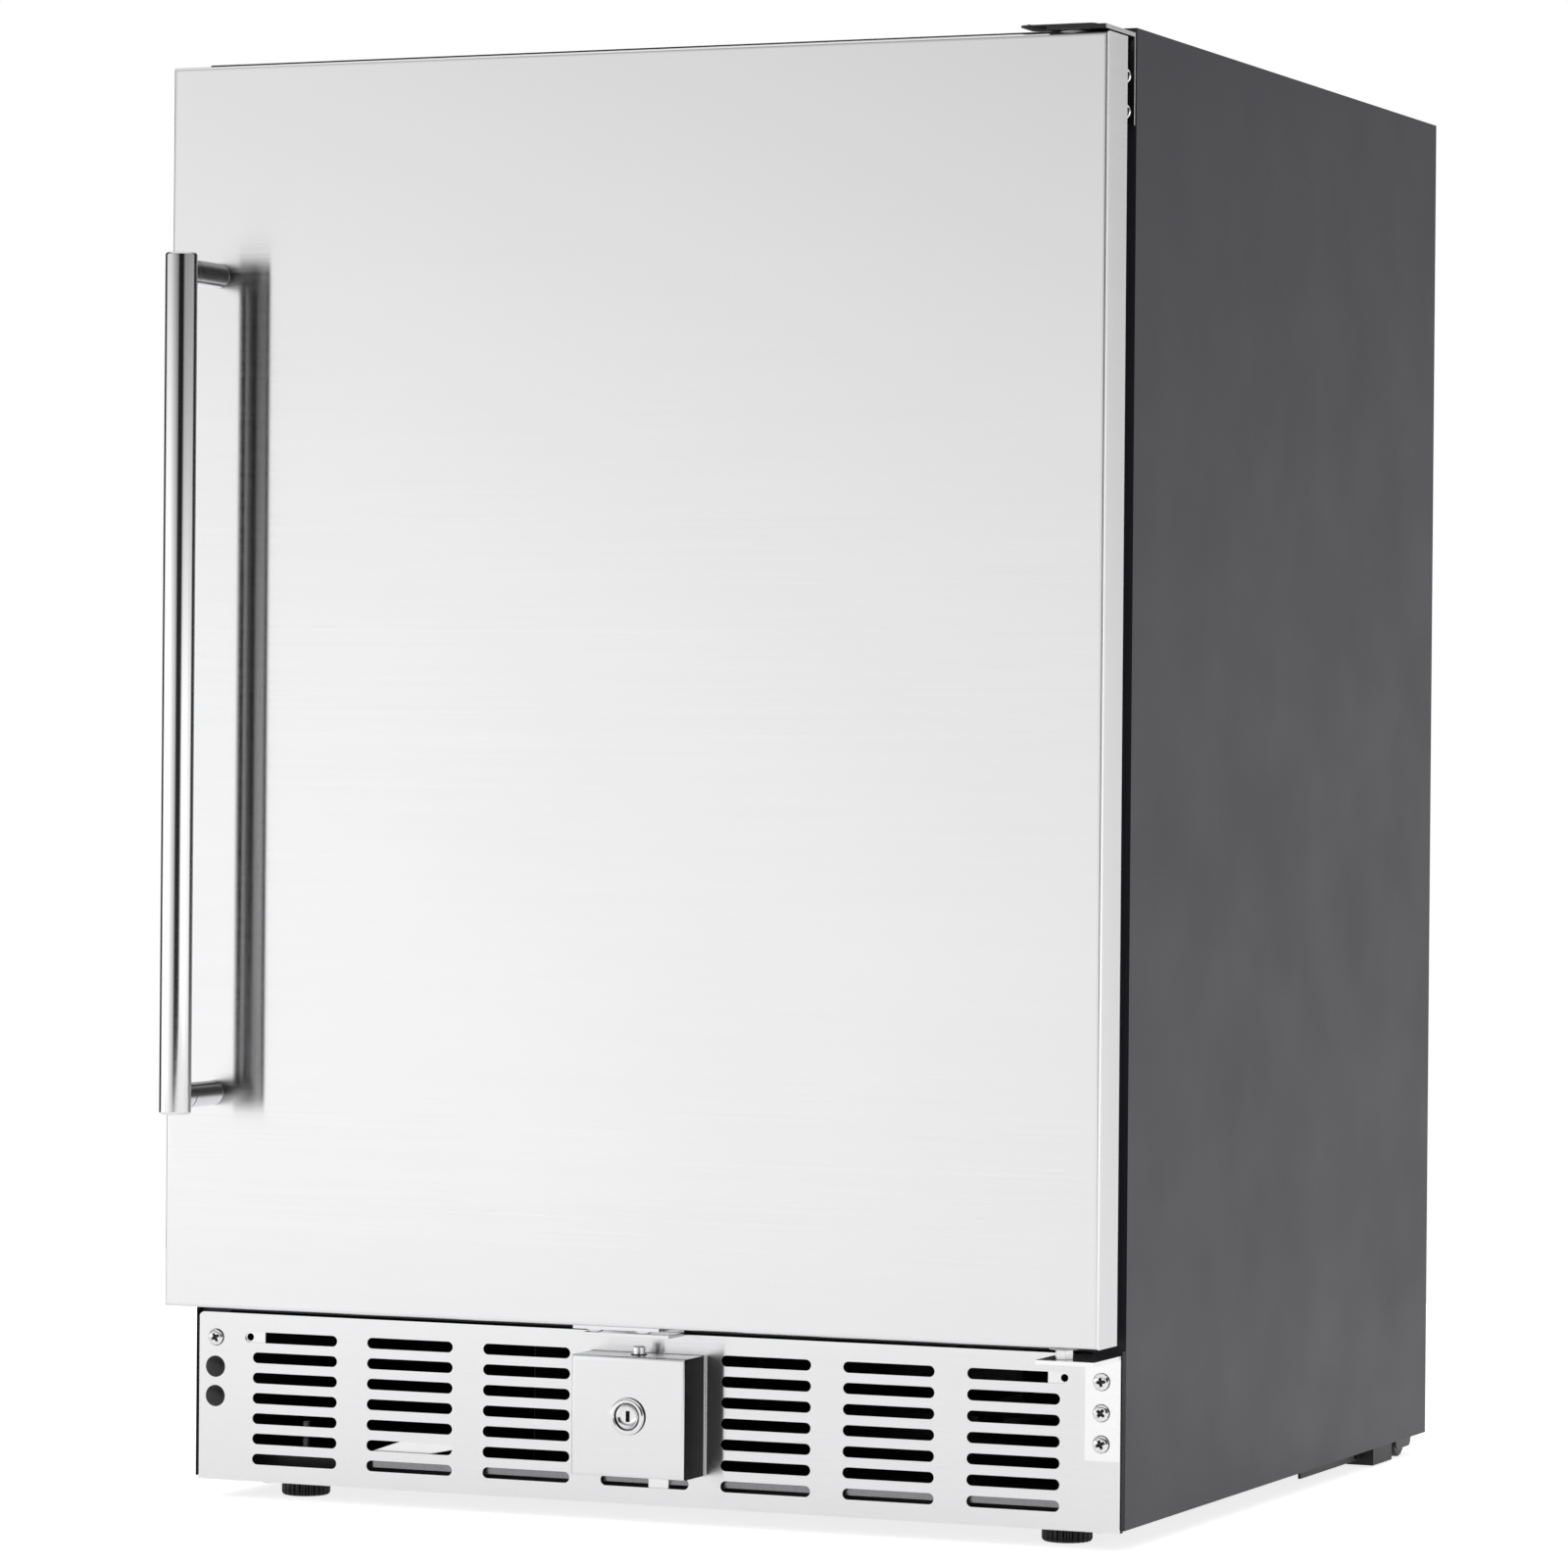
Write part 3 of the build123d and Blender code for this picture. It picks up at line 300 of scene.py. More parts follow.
horizontal = (14.0, 300.0, 2600.0)  # streaks run along X on the front faces
looks = {
    "brushed_stainless": brushedSteel("brushedStainless", {
        "colour": (0.88, 0.88, 0.89), "squeeze": horizontal, "rough": 0.15, "stretch": 0.98, "turn": 0.25,
        "streak": 0.98, "bump": 0.008}),
    # painted shade: the handle is darkened to 0.3 in what the door reflects, not when seen directly
    "satin_stainless": brushedSteel("satinHandle", {
        "colour": (0.86, 0.86, 0.865), "squeeze": (900.0, 900.0, 5000.0), "rough": 0.12, "streak": 0.97,
        "bump": 0.01, "reflectionShade": 0.3}),
    # painted shade: this near-black stands in for shade on the lock cover's sides, the sleeve's steep faces,
    # the grille's folded ends and the side panel returns
    "lock_edge": paintedMetal("lockShadeBlack", {
        "colour": (0.012, 0.012, 0.013), "rough": 0.4, "dust": 0.04, "specular": 0.1, "wear": 0.05}),
    "door_edge": brushedSteel("foldedEdge", {
        "colour": (0.9, 0.9, 0.91), "squeeze": (900.0, 20.0, 900.0), "rough": 0.42, "streak": 0.98,
        "bump": 0.012}),
    "zinc_steel": zincPlate("zincPlate", {
        "colour": (0.93, 0.93, 0.94), "spangle": 220.0, "rough": 0.28, "contrast": 0.96, "dust": 0.08}),
    "plated_lock": brushedSteel("platedLock", {
        "colour": (0.9, 0.9, 0.91), "squeeze": (600.0, 600.0, 600.0), "rough": 0.1, "bump": 0.015}),
    "dark_paint": paintedMetal("charcoalPaint", {
        "colour": (0.038, 0.0365, 0.047), "rough": 0.36, "wear": 0.1, "dust": 0.02, "specular": 0.3}),
    "compressor_paint": paintedMetal("blackEnamel", {"colour": (0.015, 0.015, 0.016), "rough": 0.25}),
    "wire_steel": brushedSteel("wirePlate", {
        "colour": (0.8, 0.81, 0.82), "squeeze": (800.0, 800.0, 800.0), "rough": 0.16, "bump": 0.02}),
    "coil_aluminium": brushedSteel("coilAluminium", {
        "colour": (0.72, 0.74, 0.76), "squeeze": (500.0, 500.0, 900.0), "rough": 0.35, "dust": 0.3}),
    "copper_tube": brushedSteel("copperTube", {
        "colour": (0.72, 0.36, 0.22), "squeeze": (300.0, 300.0, 300.0), "rough": 0.3, "streak": 0.7}),
    "black_plastic": moulded("blackPlastic", {"colour": (0.01, 0.01, 0.011), "rough": 0.36, "dust": 0.08}),
    "liner_plastic": moulded("linerPlastic", {
        "colour": (0.1, 0.102, 0.108), "rough": 0.36, "grain": 900.0, "bump": 0.05, "dust": 0.03}),
    "foam": moulded("foamSkin", {"colour": (0.72, 0.62, 0.38), "rough": 0.85, "grain": 400.0, "bump": 0.5}),
    "black_rubber": moulded("gasketRubber", {"colour": (0.012, 0.012, 0.012), "rough": 0.6, "dust": 0.08}),
    "bush_plastic": moulded("bushNylon", {"colour": (0.75, 0.74, 0.7), "rough": 0.5}),
    "dark_lens": moulded("displayLens", {
        "colour": (0.01, 0.01, 0.012), "rough": 0.1, "bump": 0.01, "dust": 0.02}),
    "clear_lens": moulded("lampLens", {
        "colour": (0.85, 0.88, 0.9), "rough": 0.3, "bump": 0.02, "clear": 0.5}),
}
baseLooks = {
    "left_foot_knob": moulded("knobPlastic", {"colour": (0.006, 0.006, 0.007), "rough": 0.3, "dust": 0.04}),
    "base_tray": paintedMetal("trayPaint", {"colour": (0.014, 0.014, 0.015), "rough": 0.5, "dust": 0.1}),
    # painted shade: the air baffle is near-black so the slots in front of it read as dark shade
    "air_baffle": paintedMetal("baffleShadeBlack", {"colour": (0.01, 0.01, 0.011), "rough": 0.6, "dust": 0.05}),
    "upper_hinge_bracket": paintedMetal("hingePaint", {
        "colour": (0.012, 0.012, 0.013), "rough": 0.22, "dust": 0.04}),
    "condenser_fan_shroud": paintedMetal("shroudPaint", {"colour": (0.012, 0.012, 0.013), "rough": 0.5}),
    "base_rails": paintedMetal("railPaint", {"colour": (0.02, 0.02, 0.022), "rough": 0.45}),
    "front_bottom_rail": paintedMetal("mullionPaint", {"colour": (0.02, 0.02, 0.021), "rough": 0.5}),
    "roller_brackets": paintedMetal("rollerBracketPaint", {"colour": (0.03, 0.03, 0.032), "rough": 0.35}),
    "panel_clips": brushedSteel("clipPlate", {
        "colour": (0.99, 0.99, 0.99), "squeeze": (300.0, 300.0, 300.0), "rough": 0.3}),
    "lower_hinge_bracket": zincPlate("bracketPlate", {
        "colour": (1.0, 1.0, 1.0), "spangle": 260.0, "rough": 0.16, "contrast": 0.98, "dust": 0.02}),
    "back_panel": zincPlate("galvanised", {
        "colour": (0.55, 0.56, 0.57), "spangle": 70.0, "rough": 0.36, "contrast": 0.8, "dust": 0.2}),
    "cross_rail": zincPlate("railZinc", {"colour": (0.3, 0.3, 0.31), "spangle": 200.0, "rough": 0.3}),
    "left_foot_stud": zincPlate("studOxide", {
        "colour": (0.12, 0.12, 0.125), "spangle": 400.0, "rough": 0.22}),
}
baseLooks["right_foot_knob"] = baseLooks["left_foot_knob"]
baseLooks["rear_service_cover"] = baseLooks["back_panel"]
baseLooks["right_foot_stud"] = baseLooks["left_foot_stud"]
for name, obj in cadNodes.items():
    obj.data.materials.clear()
    obj.data.materials.append(baseLooks.get(name, looks[nodeSlot[name]]))
print("materials:", len(bpy.data.materials))


# ---- mesh helpers ----

def gridFaces(rows, columns, wrapRows=False, wrapColumns=False):
    i = np.arange(rows if wrapRows else rows - 1)[:, None]
    j = np.arange(columns if wrapColumns else columns - 1)[None, :]
    below, right = (i + 1) % rows, (j + 1) % columns
    quads = np.stack(np.broadcast_arrays(i * columns + j, i * columns + right, below * columns + right,
                                         below * columns + j), -1)
    return quads.reshape(-1, 4)


def buildPiece(name, surfaces, material, body, replaced=(), caps=(), angle=32.0):
    # surfaces: (points[rows, columns, 3] in metres, wrapRows, wrapColumns)
    # caps: loops of points, each closed by one face
    points, faces, start = [], [], 0
    for grid, wrapRows, wrapColumns in surfaces:
        rows, columns = grid.shape[:2]
        points.append(grid.reshape(-1, 3))
        faces += (gridFaces(rows, columns, wrapRows, wrapColumns) + start).tolist()
        start += rows * columns
    for loop in caps:
        points.append(loop)
        faces.append(list(range(start, start + len(loop))))
        start += len(loop)
    mesh = bpy.data.meshes.new(name)
    mesh.from_pydata(np.concatenate(points), [], faces)
    return finishMesh(name, mesh, material, body, replaced, angle)


def finishMesh(name, mesh, material, body, replaced, angle, recalc=True):
    work = bmesh.new()
    work.from_mesh(mesh)
    bmesh.ops.remove_doubles(work, verts=work.verts, dist=2e-6)
    bmesh.ops.dissolve_degenerate(work, dist=1e-6, edges=work.edges)
    if recalc:
        bmesh.ops.recalc_face_normals(work, faces=work.faces)
    work.to_mesh(mesh)
    work.free()
    mesh.polygons.foreach_set("use_smooth", np.ones(len(mesh.polygons), bool))
    mesh.set_sharp_from_angle(angle=math.radians(angle))
    mesh.materials.clear()
    mesh.materials.append(material)
    obj = bpy.data.objects.new(name, mesh)
    bpy.context.scene.collection.objects.link(obj)
    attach(obj, body)
    if replaced:
        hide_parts(*replaced)
    return obj


def turned(profile, centre, axis, steps=64):
    # a profile of (radius, height) turned about the axis: x = r cos t, y = r sin t, height along the axis
    profile = np.asarray(profile, float)
    t = np.linspace(0, 2 * np.pi, steps, endpoint=False)
    r, h = profile[:, :1], np.broadcast_to(profile[:, 1:], (len(profile), steps))
    a, b = r * np.cos(t), r * np.sin(t)
    order = {"x": (h, a, b), "y": (b, h, a), "z": (a, b, h)}[axis]
    return (np.stack(order, -1) + np.asarray(centre, float)) * mm, False, True


def arc(cx, cy, radius, start, end, count=6):
    t = np.radians(np.linspace(start, end, count))
    return list(zip(cx + radius * np.cos(t), cy + radius * np.sin(t)))


def foldedRing(centreX, halfX, lowZ, highZ, section):
    # a section of (inset from the outline, y) carried round a rectangle in X and Z with mitred corners
    section = np.asarray(section, float)
    inset, depth = section[:, 0], section[:, 1]
    xs = np.stack([centreX - halfX + inset, centreX + halfX - inset, centreX + halfX - inset,
                   centreX - halfX + inset], 1)
    zs = np.stack([lowZ + inset, lowZ + inset, highZ - inset, highZ - inset], 1)
    ys = np.repeat(depth[:, None], 4, 1)
    return np.stack([xs, ys, zs], -1) * mm


def boxMm(node):
    low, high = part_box(node)
    return np.array(low) / mm, np.array(high) / mm


def faceNormals(obj):
    normals = np.zeros(len(obj.data.polygons) * 3)
    obj.data.polygons.foreach_get("normal", normals)
    return normals.reshape(-1, 3)


def faceCentres(obj):
    centres = np.zeros(len(obj.data.polygons) * 3)
    obj.data.polygons.foreach_get("center", centres)
    return centres.reshape(-1, 3) / mm


def secondMaterial(obj, material, chosen):
    obj.data.materials.append(material)
    obj.data.polygons.foreach_set("material_index", chosen.astype(int))


# ---- door skin: one folded sheet, with a tight bend all round and an open back ----
doorSettings = {"sheet": 0.9, "bend": 2.0, "crown": 3.0}


def makeDoorSkin(look):
    low, high = boxMm("door_skin")
    bend, wall, crown = look["bend"], look["sheet"], look["crown"]
    front, back = low[1], high[1]
    outer = [(crown, front)] + [(bend - bend * math.sin(t), front + bend - bend * math.cos(t))
                                for t in np.linspace(0, math.pi / 2, 7)]
    outer += [(0.0, back - 0.25), (0.25, back), (wall - 0.25, back), (wall, back - 0.25),
              (wall, front + bend), (crown, front + wall)]
    ring = foldedRing(0.0, high[0], low[2], high[2], outer)
    skin = buildPiece("doorSkin", [(ring, False, True)], looks["brushed_stainless"], "door",
                      ["door_skin"], caps=[ring[0], ring[-1]], angle=24)
    secondMaterial(skin, looks["door_edge"], np.abs(faceNormals(skin)[:, 1]) < 0.3)


makeDoorSkin(doorSettings)

# ---- gasket: bellows with a flat magnet face against the cabinet ----
gasketSection = [(0.0, 0.0), (0.4, 2.4), (2.6, 3.4), (1.0, 4.8), (2.8, 6.2), (0.8, 7.4), (0.0, 8.4),
                 (0.0, 12.2), (0.8, 13.0), (16.2, 13.0), (17.0, 12.2), (17.0, 8.4), (16.2, 7.4), (14.2, 6.2),
                 (16.0, 4.8), (14.4, 3.4), (16.6, 2.4), (17.0, 0.0)]
gasketDepth = 13.0


def makeGasket():
    low, high = boxMm("door_gasket")
    section = np.array(gasketSection) * [1.0, (high[1] - low[1]) / gasketDepth] + [0.0, low[1]]
    ring = foldedRing(0.0, high[0], low[2], high[2], section)
    buildPiece("doorGasket", [(ring, True, True)], looks["black_rubber"], "door",
               ["door_gasket"], angle=50)


makeGasket()

# ---- bar handle: turned bar with rounded ends, two posts with a saddle end and a neck groove ----
handleSettings = {"round": 1.6, "neck": 3.2, "neckDepth": 0.7, "neckWidth": 0.9}


def makeHandle(look):
    low, high = boxMm("handle_bar")
    centre = (low + high) / 2
    radius, r = (high[0] - low[0]) / 2, look["round"]
    bottom, top = low[2], high[2]
    profile = [(0.0, bottom)] + arc(radius - r, bottom + r, r, -90, 0) + arc(radius - r, top - r, r, 0, 90)
    profile += [(0.0, top)]
    steel = looks["satin_stainless"]
    buildPiece("handleBar", [turned(profile, (centre[0], centre[1], 0), "z", 96)], steel, "door",
               ["handle_bar"])
    postLow, postHigh = boxMm("handle_posts")
    postRadius = (postHigh[0] - postLow[0]) / 2
    doorFace = postHigh[1]
    surfaces = []
    for z in (postLow[2] + postRadius, postHigh[2] - postRadius):
        t = np.linspace(0, 2 * np.pi, 64, endpoint=False)
        # the bar end follows the bar: y = bar axis + sqrt(R^2 - (r cos t)^2)
        saddle = centre[1] + np.sqrt(radius ** 2 - (postRadius * np.cos(t)) ** 2) - 0.4
        neckY, width = centre[1] + radius + look["neck"], look["neckWidth"]
        steps = [(postRadius, None), (postRadius, neckY), (postRadius - look["neckDepth"], neckY + 0.2),
                 (postRadius - look["neckDepth"], neckY + width), (postRadius, neckY + width + 0.2),
                 (postRadius, doorFace - 0.5), (postRadius - 0.5, doorFace), (0.0, doorFace)]
        rows = [np.stack([centre[0] + rad * np.cos(t), saddle if y is None else np.full_like(t, y),
                          z + rad * np.sin(t)], -1) for rad, y in steps]
        root = [np.full_like(t, value) for value in (centre[0], centre[1] + 2.0, z)]
        surfaces.append((np.stack([np.stack(root, -1)] + rows) * mm, False, True))
        setScrew = [(0.0, 0.6), (1.0, 0.6), (1.1, 0.0), (1.7, 0.0), (1.7, -1.6), (0.0, -1.6)]
        surfaces.append(turned(setScrew, (centre[0], neckY - 1.6, z - postRadius), "z", 24))
    buildPiece("handlePosts", surfaces, steel, "door", ["handle_posts"])


makeHandle(handleSettings)

# ---- pan-head screws with a cross recess ----
# front screws lower than the given height get a painted shade outline round the head
screwSettings = {
    "radius": 5.2, "height": 2.0, "cells": 40, "arm": 0.17, "reach": 0.62, "depth": 0.75, "rimShadeBelow": 500.0,
    "leaf": 2.5, "topDrop": 15.2, "pitch": 17.8, "leafInset": 11.5, "upperInset": 7.0, "upperPitch": 20.3,
    "coverX": 280.0, "coverDrop": 10.0, "flangeBack": 4.5,
    "flange": ((-275.0, 0.55), (-254.0, 0.7), (0.0, 0.6), (282.0, 0.6), (292.0, 0.5))
}


def screwHead(x, y, z, facing, spin, look, size=1.0):
    # u, v on a square are bent to a disc: x = u sqrt(1 - v^2/2)
    # height = H sqrt(1 - r^4), less the cross recess
    u, v = np.meshgrid(*[np.linspace(-1, 1, look["cells"] + 1)] * 2)
    a, b = u * np.sqrt(1 - v ** 2 / 2), v * np.sqrt(1 - u ** 2 / 2)
    rho = np.minimum(np.hypot(a, b), 1.0)
    dome = np.sqrt(np.clip(1 - rho ** 4, 0, 1))
    narrow, wide = np.minimum(abs(u), abs(v)), np.maximum(abs(u), abs(v))
    cross = np.clip((look["arm"] - narrow) / 0.06, 0, 1) * np.clip((look["reach"] - wide) / 0.3, 0, 1)
    height = look["height"] * size * (dome - look["depth"] * cross)
    flat = np.zeros_like(height) - 0.3 * size
    c, s = math.cos(spin), math.sin(spin)
    a, b = (a * c - b * s) * look["radius"] * size, (a * s + b * c) * look["radius"] * size
    grids = []
    for h in (height, flat):
        order = {"front": (x + a, y - h, z + b), "back": (x - a, y + h, z + b), "down": (x + a, y + b, z - h)}
        grids.append((np.stack(order[facing], -1) * mm, False, False))
    edge = np.ones_like(u, bool)
    edge[1:-1, 1:-1] = False
    rim = np.argsort(np.arctan2(b, a)[edge])
    upper = grids[0][0][edge][rim]
    lower = grids[1][0][edge][rim]
    grids.append((np.stack([upper, lower]), False, True))
    return grids


def paintedRecessShade(obj, spots, look):
    # painted shade: faces inside the cross and below its rim, and on the low front screws the steep edge of the
    # head, take the black look to stand in for the shade in the recess and round the head
    centres, chosen = faceCentres(obj), np.zeros(len(obj.data.polygons), bool)
    radius, height = look["radius"], look["height"]
    for x, y, z, facing, spin in spots:
        sign = -1 if facing == "back" else 1
        out, across, along = sign * (y - centres[:, 1]), centres[:, 2] - z, sign * (centres[:, 0] - x)
        c, s = math.cos(spin), math.sin(spin)
        u, v = along * c + across * s, across * c - along * s
        away = np.hypot(u, v) / radius
        inCross = (np.minimum(abs(u), abs(v)) < (look["arm"] + 0.02) * radius) & (away < look["reach"])
        chosen |= inCross & (out < 0.7 * height) & (out > 0.0)
        if facing == "front" and z < look["rimShadeBelow"]:
            chosen |= (away > 0.93) & (away < 1.1) & (out < height) & (out > -1.0)
    secondMaterial(obj, looks["black_plastic"], chosen)


def makeScrews(look):
    bracketHigh, upperHigh = boxMm("lower_hinge_bracket")[1], boxMm("upper_hinge_bracket")[1]
    grilleLow, grilleHigh = boxMm("kick_grille")
    screwLow, screwHigh = boxMm("panhead_screws")
    plated, radius, leaf = looks["plated_lock"], look["radius"], look["leaf"]
    topZ = grilleHigh[2] - look["topDrop"]
    spots = [(screwLow[0] + radius, grilleLow[1], topZ, "front", 0.5)]
    for i, spin in enumerate((0.15, 0.9, 0.4)):
        leafX = bracketHigh[0] - look["leafInset"]
        spots.append((leafX, grilleLow[1] - leaf, topZ - i * look["pitch"], "front", spin))
    for i, spin in enumerate((0.3, 0.7)):
        z = screwHigh[2] - radius - i * look["upperPitch"]
        spots.append((upperHigh[0] - look["upperInset"], upperHigh[1] - leaf, z, "front", spin))
    coverHigh = boxMm("rear_service_cover")[1]
    for sign in (-1, 1):
        for z in (screwLow[2] + radius, coverHigh[2] - look["coverDrop"]):
            spots.append((sign * look["coverX"], coverHigh[1], z, "back", 0.3 * sign))
    surfaces = []
    for x, y, z, facing, spin in spots:
        surfaces += screwHead(x, y, z, facing, spin, look)
    screws = buildPiece("panheadScrews", surfaces, plated, "cabinet", ["panhead_screws"],
                        angle=40)
    paintedRecessShade(screws, spots, look)
    strikeLow, strikeHigh = boxMm("strike_screws")
    surfaces = []
    for x in (strikeLow[0] + radius, strikeHigh[0] - radius):
        y, z = (strikeLow[1] + strikeHigh[1]) / 2, strikeLow[2] + look["height"]
        surfaces += screwHead(x, y, z, "down", 0.4, look)
    buildPiece("strikeScrews", surfaces, plated, "door", ["strike_screws"], angle=40)
    surfaces = []
    for x, size in look["flange"]:
        surfaces += screwHead(x, grilleHigh[1] - look["flangeBack"], grilleLow[2], "down", 0.2 + x, look, size)
    buildPiece("flangeScrews", surfaces, plated, "cabinet", angle=40)


makeScrews(screwSettings)

# ---- black hole plugs: low domes with a lip ----
plugSettings = {"radius": 6.5, "height": 2.2}


def makePlugs(look):
    low, high = boxMm("hole_plugs")
    face = low[1] + look["height"]
    r, h = look["radius"], look["height"]
    surfaces = []
    for z in (low[2] + r, high[2] - r):
        dome = [(r * 0.9 * math.sin(t), -h * (0.25 + 0.75 * math.cos(t)))
                for t in np.linspace(0, math.pi / 2, 9)]
        profile = dome + [(r * 0.97, -h * 0.22), (r, -0.1), (r, 0.0), (4.2, 0.0), (4.2, 3.0), (0.0, 3.0)]
        surfaces.append(turned(profile, ((low[0] + high[0]) / 2, face, z), "y", 48))
    buildPiece("holePlugs", surfaces, looks["black_plastic"], "cabinet", ["hole_plugs"])


makePlugs(plugSettings)

# ---- levelling knobs: fluted side, rounded foot, dished top ----
knobSettings = {"flutes": 24, "fluteDepth": 0.1, "rounding": 2.2}


def makeKnob(side, look):
    low, high = boxMm(side + "_foot_knob")
    centre = (low + high) / 2
    radius, height, r = (high[0] - low[0]) / 2, high[2], look["rounding"]
    profile = np.array([(0.0, 0.0), (radius - r - 3, 0.0)] + arc(radius - r, r, r, -90, 0, 7)
                       + [(radius, height * 0.6), (radius, height - 1.2), (radius - 0.9, height),
                          (6.0, height), (6.0, height - 1.5), (4.3, height - 1.5), (4.3, height - 4.0),
                          (0.0, height - 4.0)])
    t = np.linspace(0, 2 * np.pi, look["flutes"] * 8, endpoint=False)
    # radius = r (1 - depth * square-ish wave) where the side is full width
    wave = np.clip(np.cos(look["flutes"] * t) * 2.2, -1, 1) * 0.5 + 0.5
    share = np.clip((profile[:, :1] / radius - 0.8) / 0.2, 0, 1)
    r2 = profile[:, :1] * (1 - look["fluteDepth"] * wave * share)
    grid = np.stack([centre[0] + r2 * np.cos(t), centre[1] + r2 * np.sin(t),
                     np.broadcast_to(profile[:, 1:], r2.shape)], -1) * mm
    buildPiece(side + "FootKnob", [(grid, False, True)], baseLooks[side + "_foot_knob"], side + "_foot_knob",
               [side + "_foot_knob"], angle=45)


for side in ("left", "right"):
    makeKnob(side, knobSettings)
print("door, handle, screws and feet made")

# ---- lock box: folded cover with a back flange, and its turned sleeve ----
lockSettings = {"bend": 1.3, "sheet": 1.2, "lip": 0.8, "hole": 9.5, "bolt": 3.65}


def makeLock(look):
    low, high = boxMm("lock_housing")
    centreX, halfX = (low[0] + high[0]) / 2, (high[0] - low[0]) / 2 - look["lip"]
    lowZ, highZ = low[2] + look["lip"], high[2] - look["lip"]
    front, back, r, lip, wall = low[1], high[1], look["bend"], look["lip"], look["sheet"]
    section = [(3.0, front)] + [(r - r * math.sin(t), front + r - r * math.cos(t))
                                for t in np.linspace(0, math.pi / 2, 6)]
    section += [(0.0, back - 1.3), (-0.25, back - 1.0), (-lip, back - 1.0), (-lip, back), (wall, back),
                (wall, front + r), (3.0, front + wall)]
    ring = foldedRing(centreX, halfX, lowZ, highZ, section)
    sleeveLow, sleeveHigh = boxMm("lock_cylinder")
    middle = (sleeveLow + sleeveHigh) / 2
    hole = turned([(look["hole"], front), (look["hole"], front + wall)], (middle[0], 0, middle[2]), "y", 48)
    caps = []
    for corners, edge in ((ring[0], hole[0][0]), (ring[-1], hole[0][1])):
        for k, (a, b) in enumerate(((2, 1), (1, 0), (0, 3), (3, 2))):  # a quarter of the hole to each side
            quarter = edge[np.arange(6 + 12 * k, 19 + 12 * k) % 48]
            caps.append(np.concatenate([quarter, corners[[b, a]]]))
    cover = buildPiece("lockCover", [(ring, False, True), hole], looks["brushed_stainless"], "cabinet",
                       ["lock_housing"], caps=caps, angle=24)
    # painted shade: the cover's sides in front of the back lip are near-black for the shade they show; the top
    # and front stay stainless
    painted = (np.abs(faceNormals(cover)[:, 0]) > 0.5) & (faceCentres(cover)[:, 1] < back - 1.4)
    secondMaterial(cover, looks["lock_edge"], painted)
    face, back = sleeveLow[1], sleeveHigh[1]
    radius = (sleeveHigh[0] - sleeveLow[0]) / 2
    profile = [(7.06, back), (7.06, face + 2.2), (7.4, face + 2.0), (8.0, face + 0.7), (8.3, face + 0.25),
               (8.7, face)] + arc(radius - 1.6, face + 1.6, 1.6, -90, 0) + [
               (radius, face + 2.5), (9.5, face + 2.5), (9.5, back)]
    centre = (middle[0], 0.0, middle[2])
    sleeve = buildPiece("lockSleeve", [turned(profile + profile[:1], centre, "y", 96)], looks["plated_lock"],
                        "cabinet", ["lock_cylinder"])
    # painted shade: the sleeve's steep faces get the near-black, a dark outline standing in for shade round the
    # rim
    secondMaterial(sleeve, looks["lock_edge"], np.abs(faceNormals(sleeve)[:, 1]) < 0.45)
    boltRadius = look["bolt"]
    boltY = boxMm("lock_bolt")[0][1] + boltRadius
    inner, outer = boltRadius + 0.1, boltRadius + 1.2
    grommet = [(inner, -0.4), (inner, 0.5), (outer - 0.3, 0.5), (outer, 0.0), (outer, -0.4), (inner, -0.4)]
    buildPiece("boltGrommet", [turned(grommet, (centre[0], boltY, highZ + 0.1), "z", 48)],
               looks["black_plastic"], "cabinet")
    return centre


lockCentre = makeLock(lockSettings)

plugShape = {
    "radius": 7.0, "dished": 6.3, "dish": 1.1, "keyWidth": 1.25, "keyHeight": 3.2, "keyDepth": 2.0, "pin": 1.5,
    "crank": 4.52
}


def makePlug(look):
    # dished face with a keyway: depth = dish (1 - (r/R)^6), plus the key depth where |x| and |z| are inside it
    low, high = boxMm("lock_plug")
    face = low[1] + 0.05
    cx, cz = lockCentre[0], lockCentre[2]
    dished, radius, pin, slope = look["dished"], look["radius"], look["pin"], 0.12
    r, t = np.meshgrid(np.linspace(0, dished, 90), np.linspace(0, 2 * np.pi, 144, endpoint=False),
                       indexing="ij")
    x, z = r * np.cos(t), r * np.sin(t)
    key = np.clip((look["keyWidth"] - abs(x)) / slope, 0, 1)
    key = key * np.clip((look["keyHeight"] - abs(z)) / slope, 0, 1)
    depth = look["dish"] * (1 - (r / dished) ** 6) + look["keyDepth"] * key
    surfaces = [(np.stack([cx + x, face + depth, cz + z], -1) * mm, False, True)]
    camFace, camBack = high[1] - 6.5, high[1] - 4.5
    body = [(dished, face), (6.8, face + 0.1), (radius, face + 0.4), (radius, camFace), (8.2, camFace),
            (8.5, camFace + 0.3), (8.5, camBack - 0.3), (8.2, camBack), (0.0, camBack)]
    surfaces.append(turned(body, (cx, 0, cz), "y", 144))
    offset, end = look["crank"], high[1]
    crankPin = [(0.0, camBack), (pin, camBack), (pin, end - 0.3), (pin - 0.3, end), (0.0, end)]
    surfaces.append(turned(crankPin, (cx + offset, 0, cz - offset), "y", 32))
    plug = buildPiece("lockPlug", surfaces, looks["plated_lock"], "lock_plug", ["lock_plug"],
                      angle=38)
    away = faceCentres(plug) - [cx, face, cz]
    # painted shade: the keyway faces are coloured black for the shade inside the slot
    inKey = (away[:, 1] > look["dish"] + 0.05) & (away[:, 1] < 5) & (np.hypot(away[:, 0], away[:, 2]) < 3.8)
    secondMaterial(plug, looks["black_plastic"], inKey)


makePlug(plugShape)

# ---- other CAD parts: the same shape, with every sharp edge rolled over ----

def addBevel(obj, width):
    modifier = obj.modifiers.new("rolled", "BEVEL")
    modifier.width = width * mm
    modifier.segments = 2
    modifier.limit_method = "ANGLE"
    modifier.angle_limit = math.radians(30.0)
    modifier.harden_normals = True


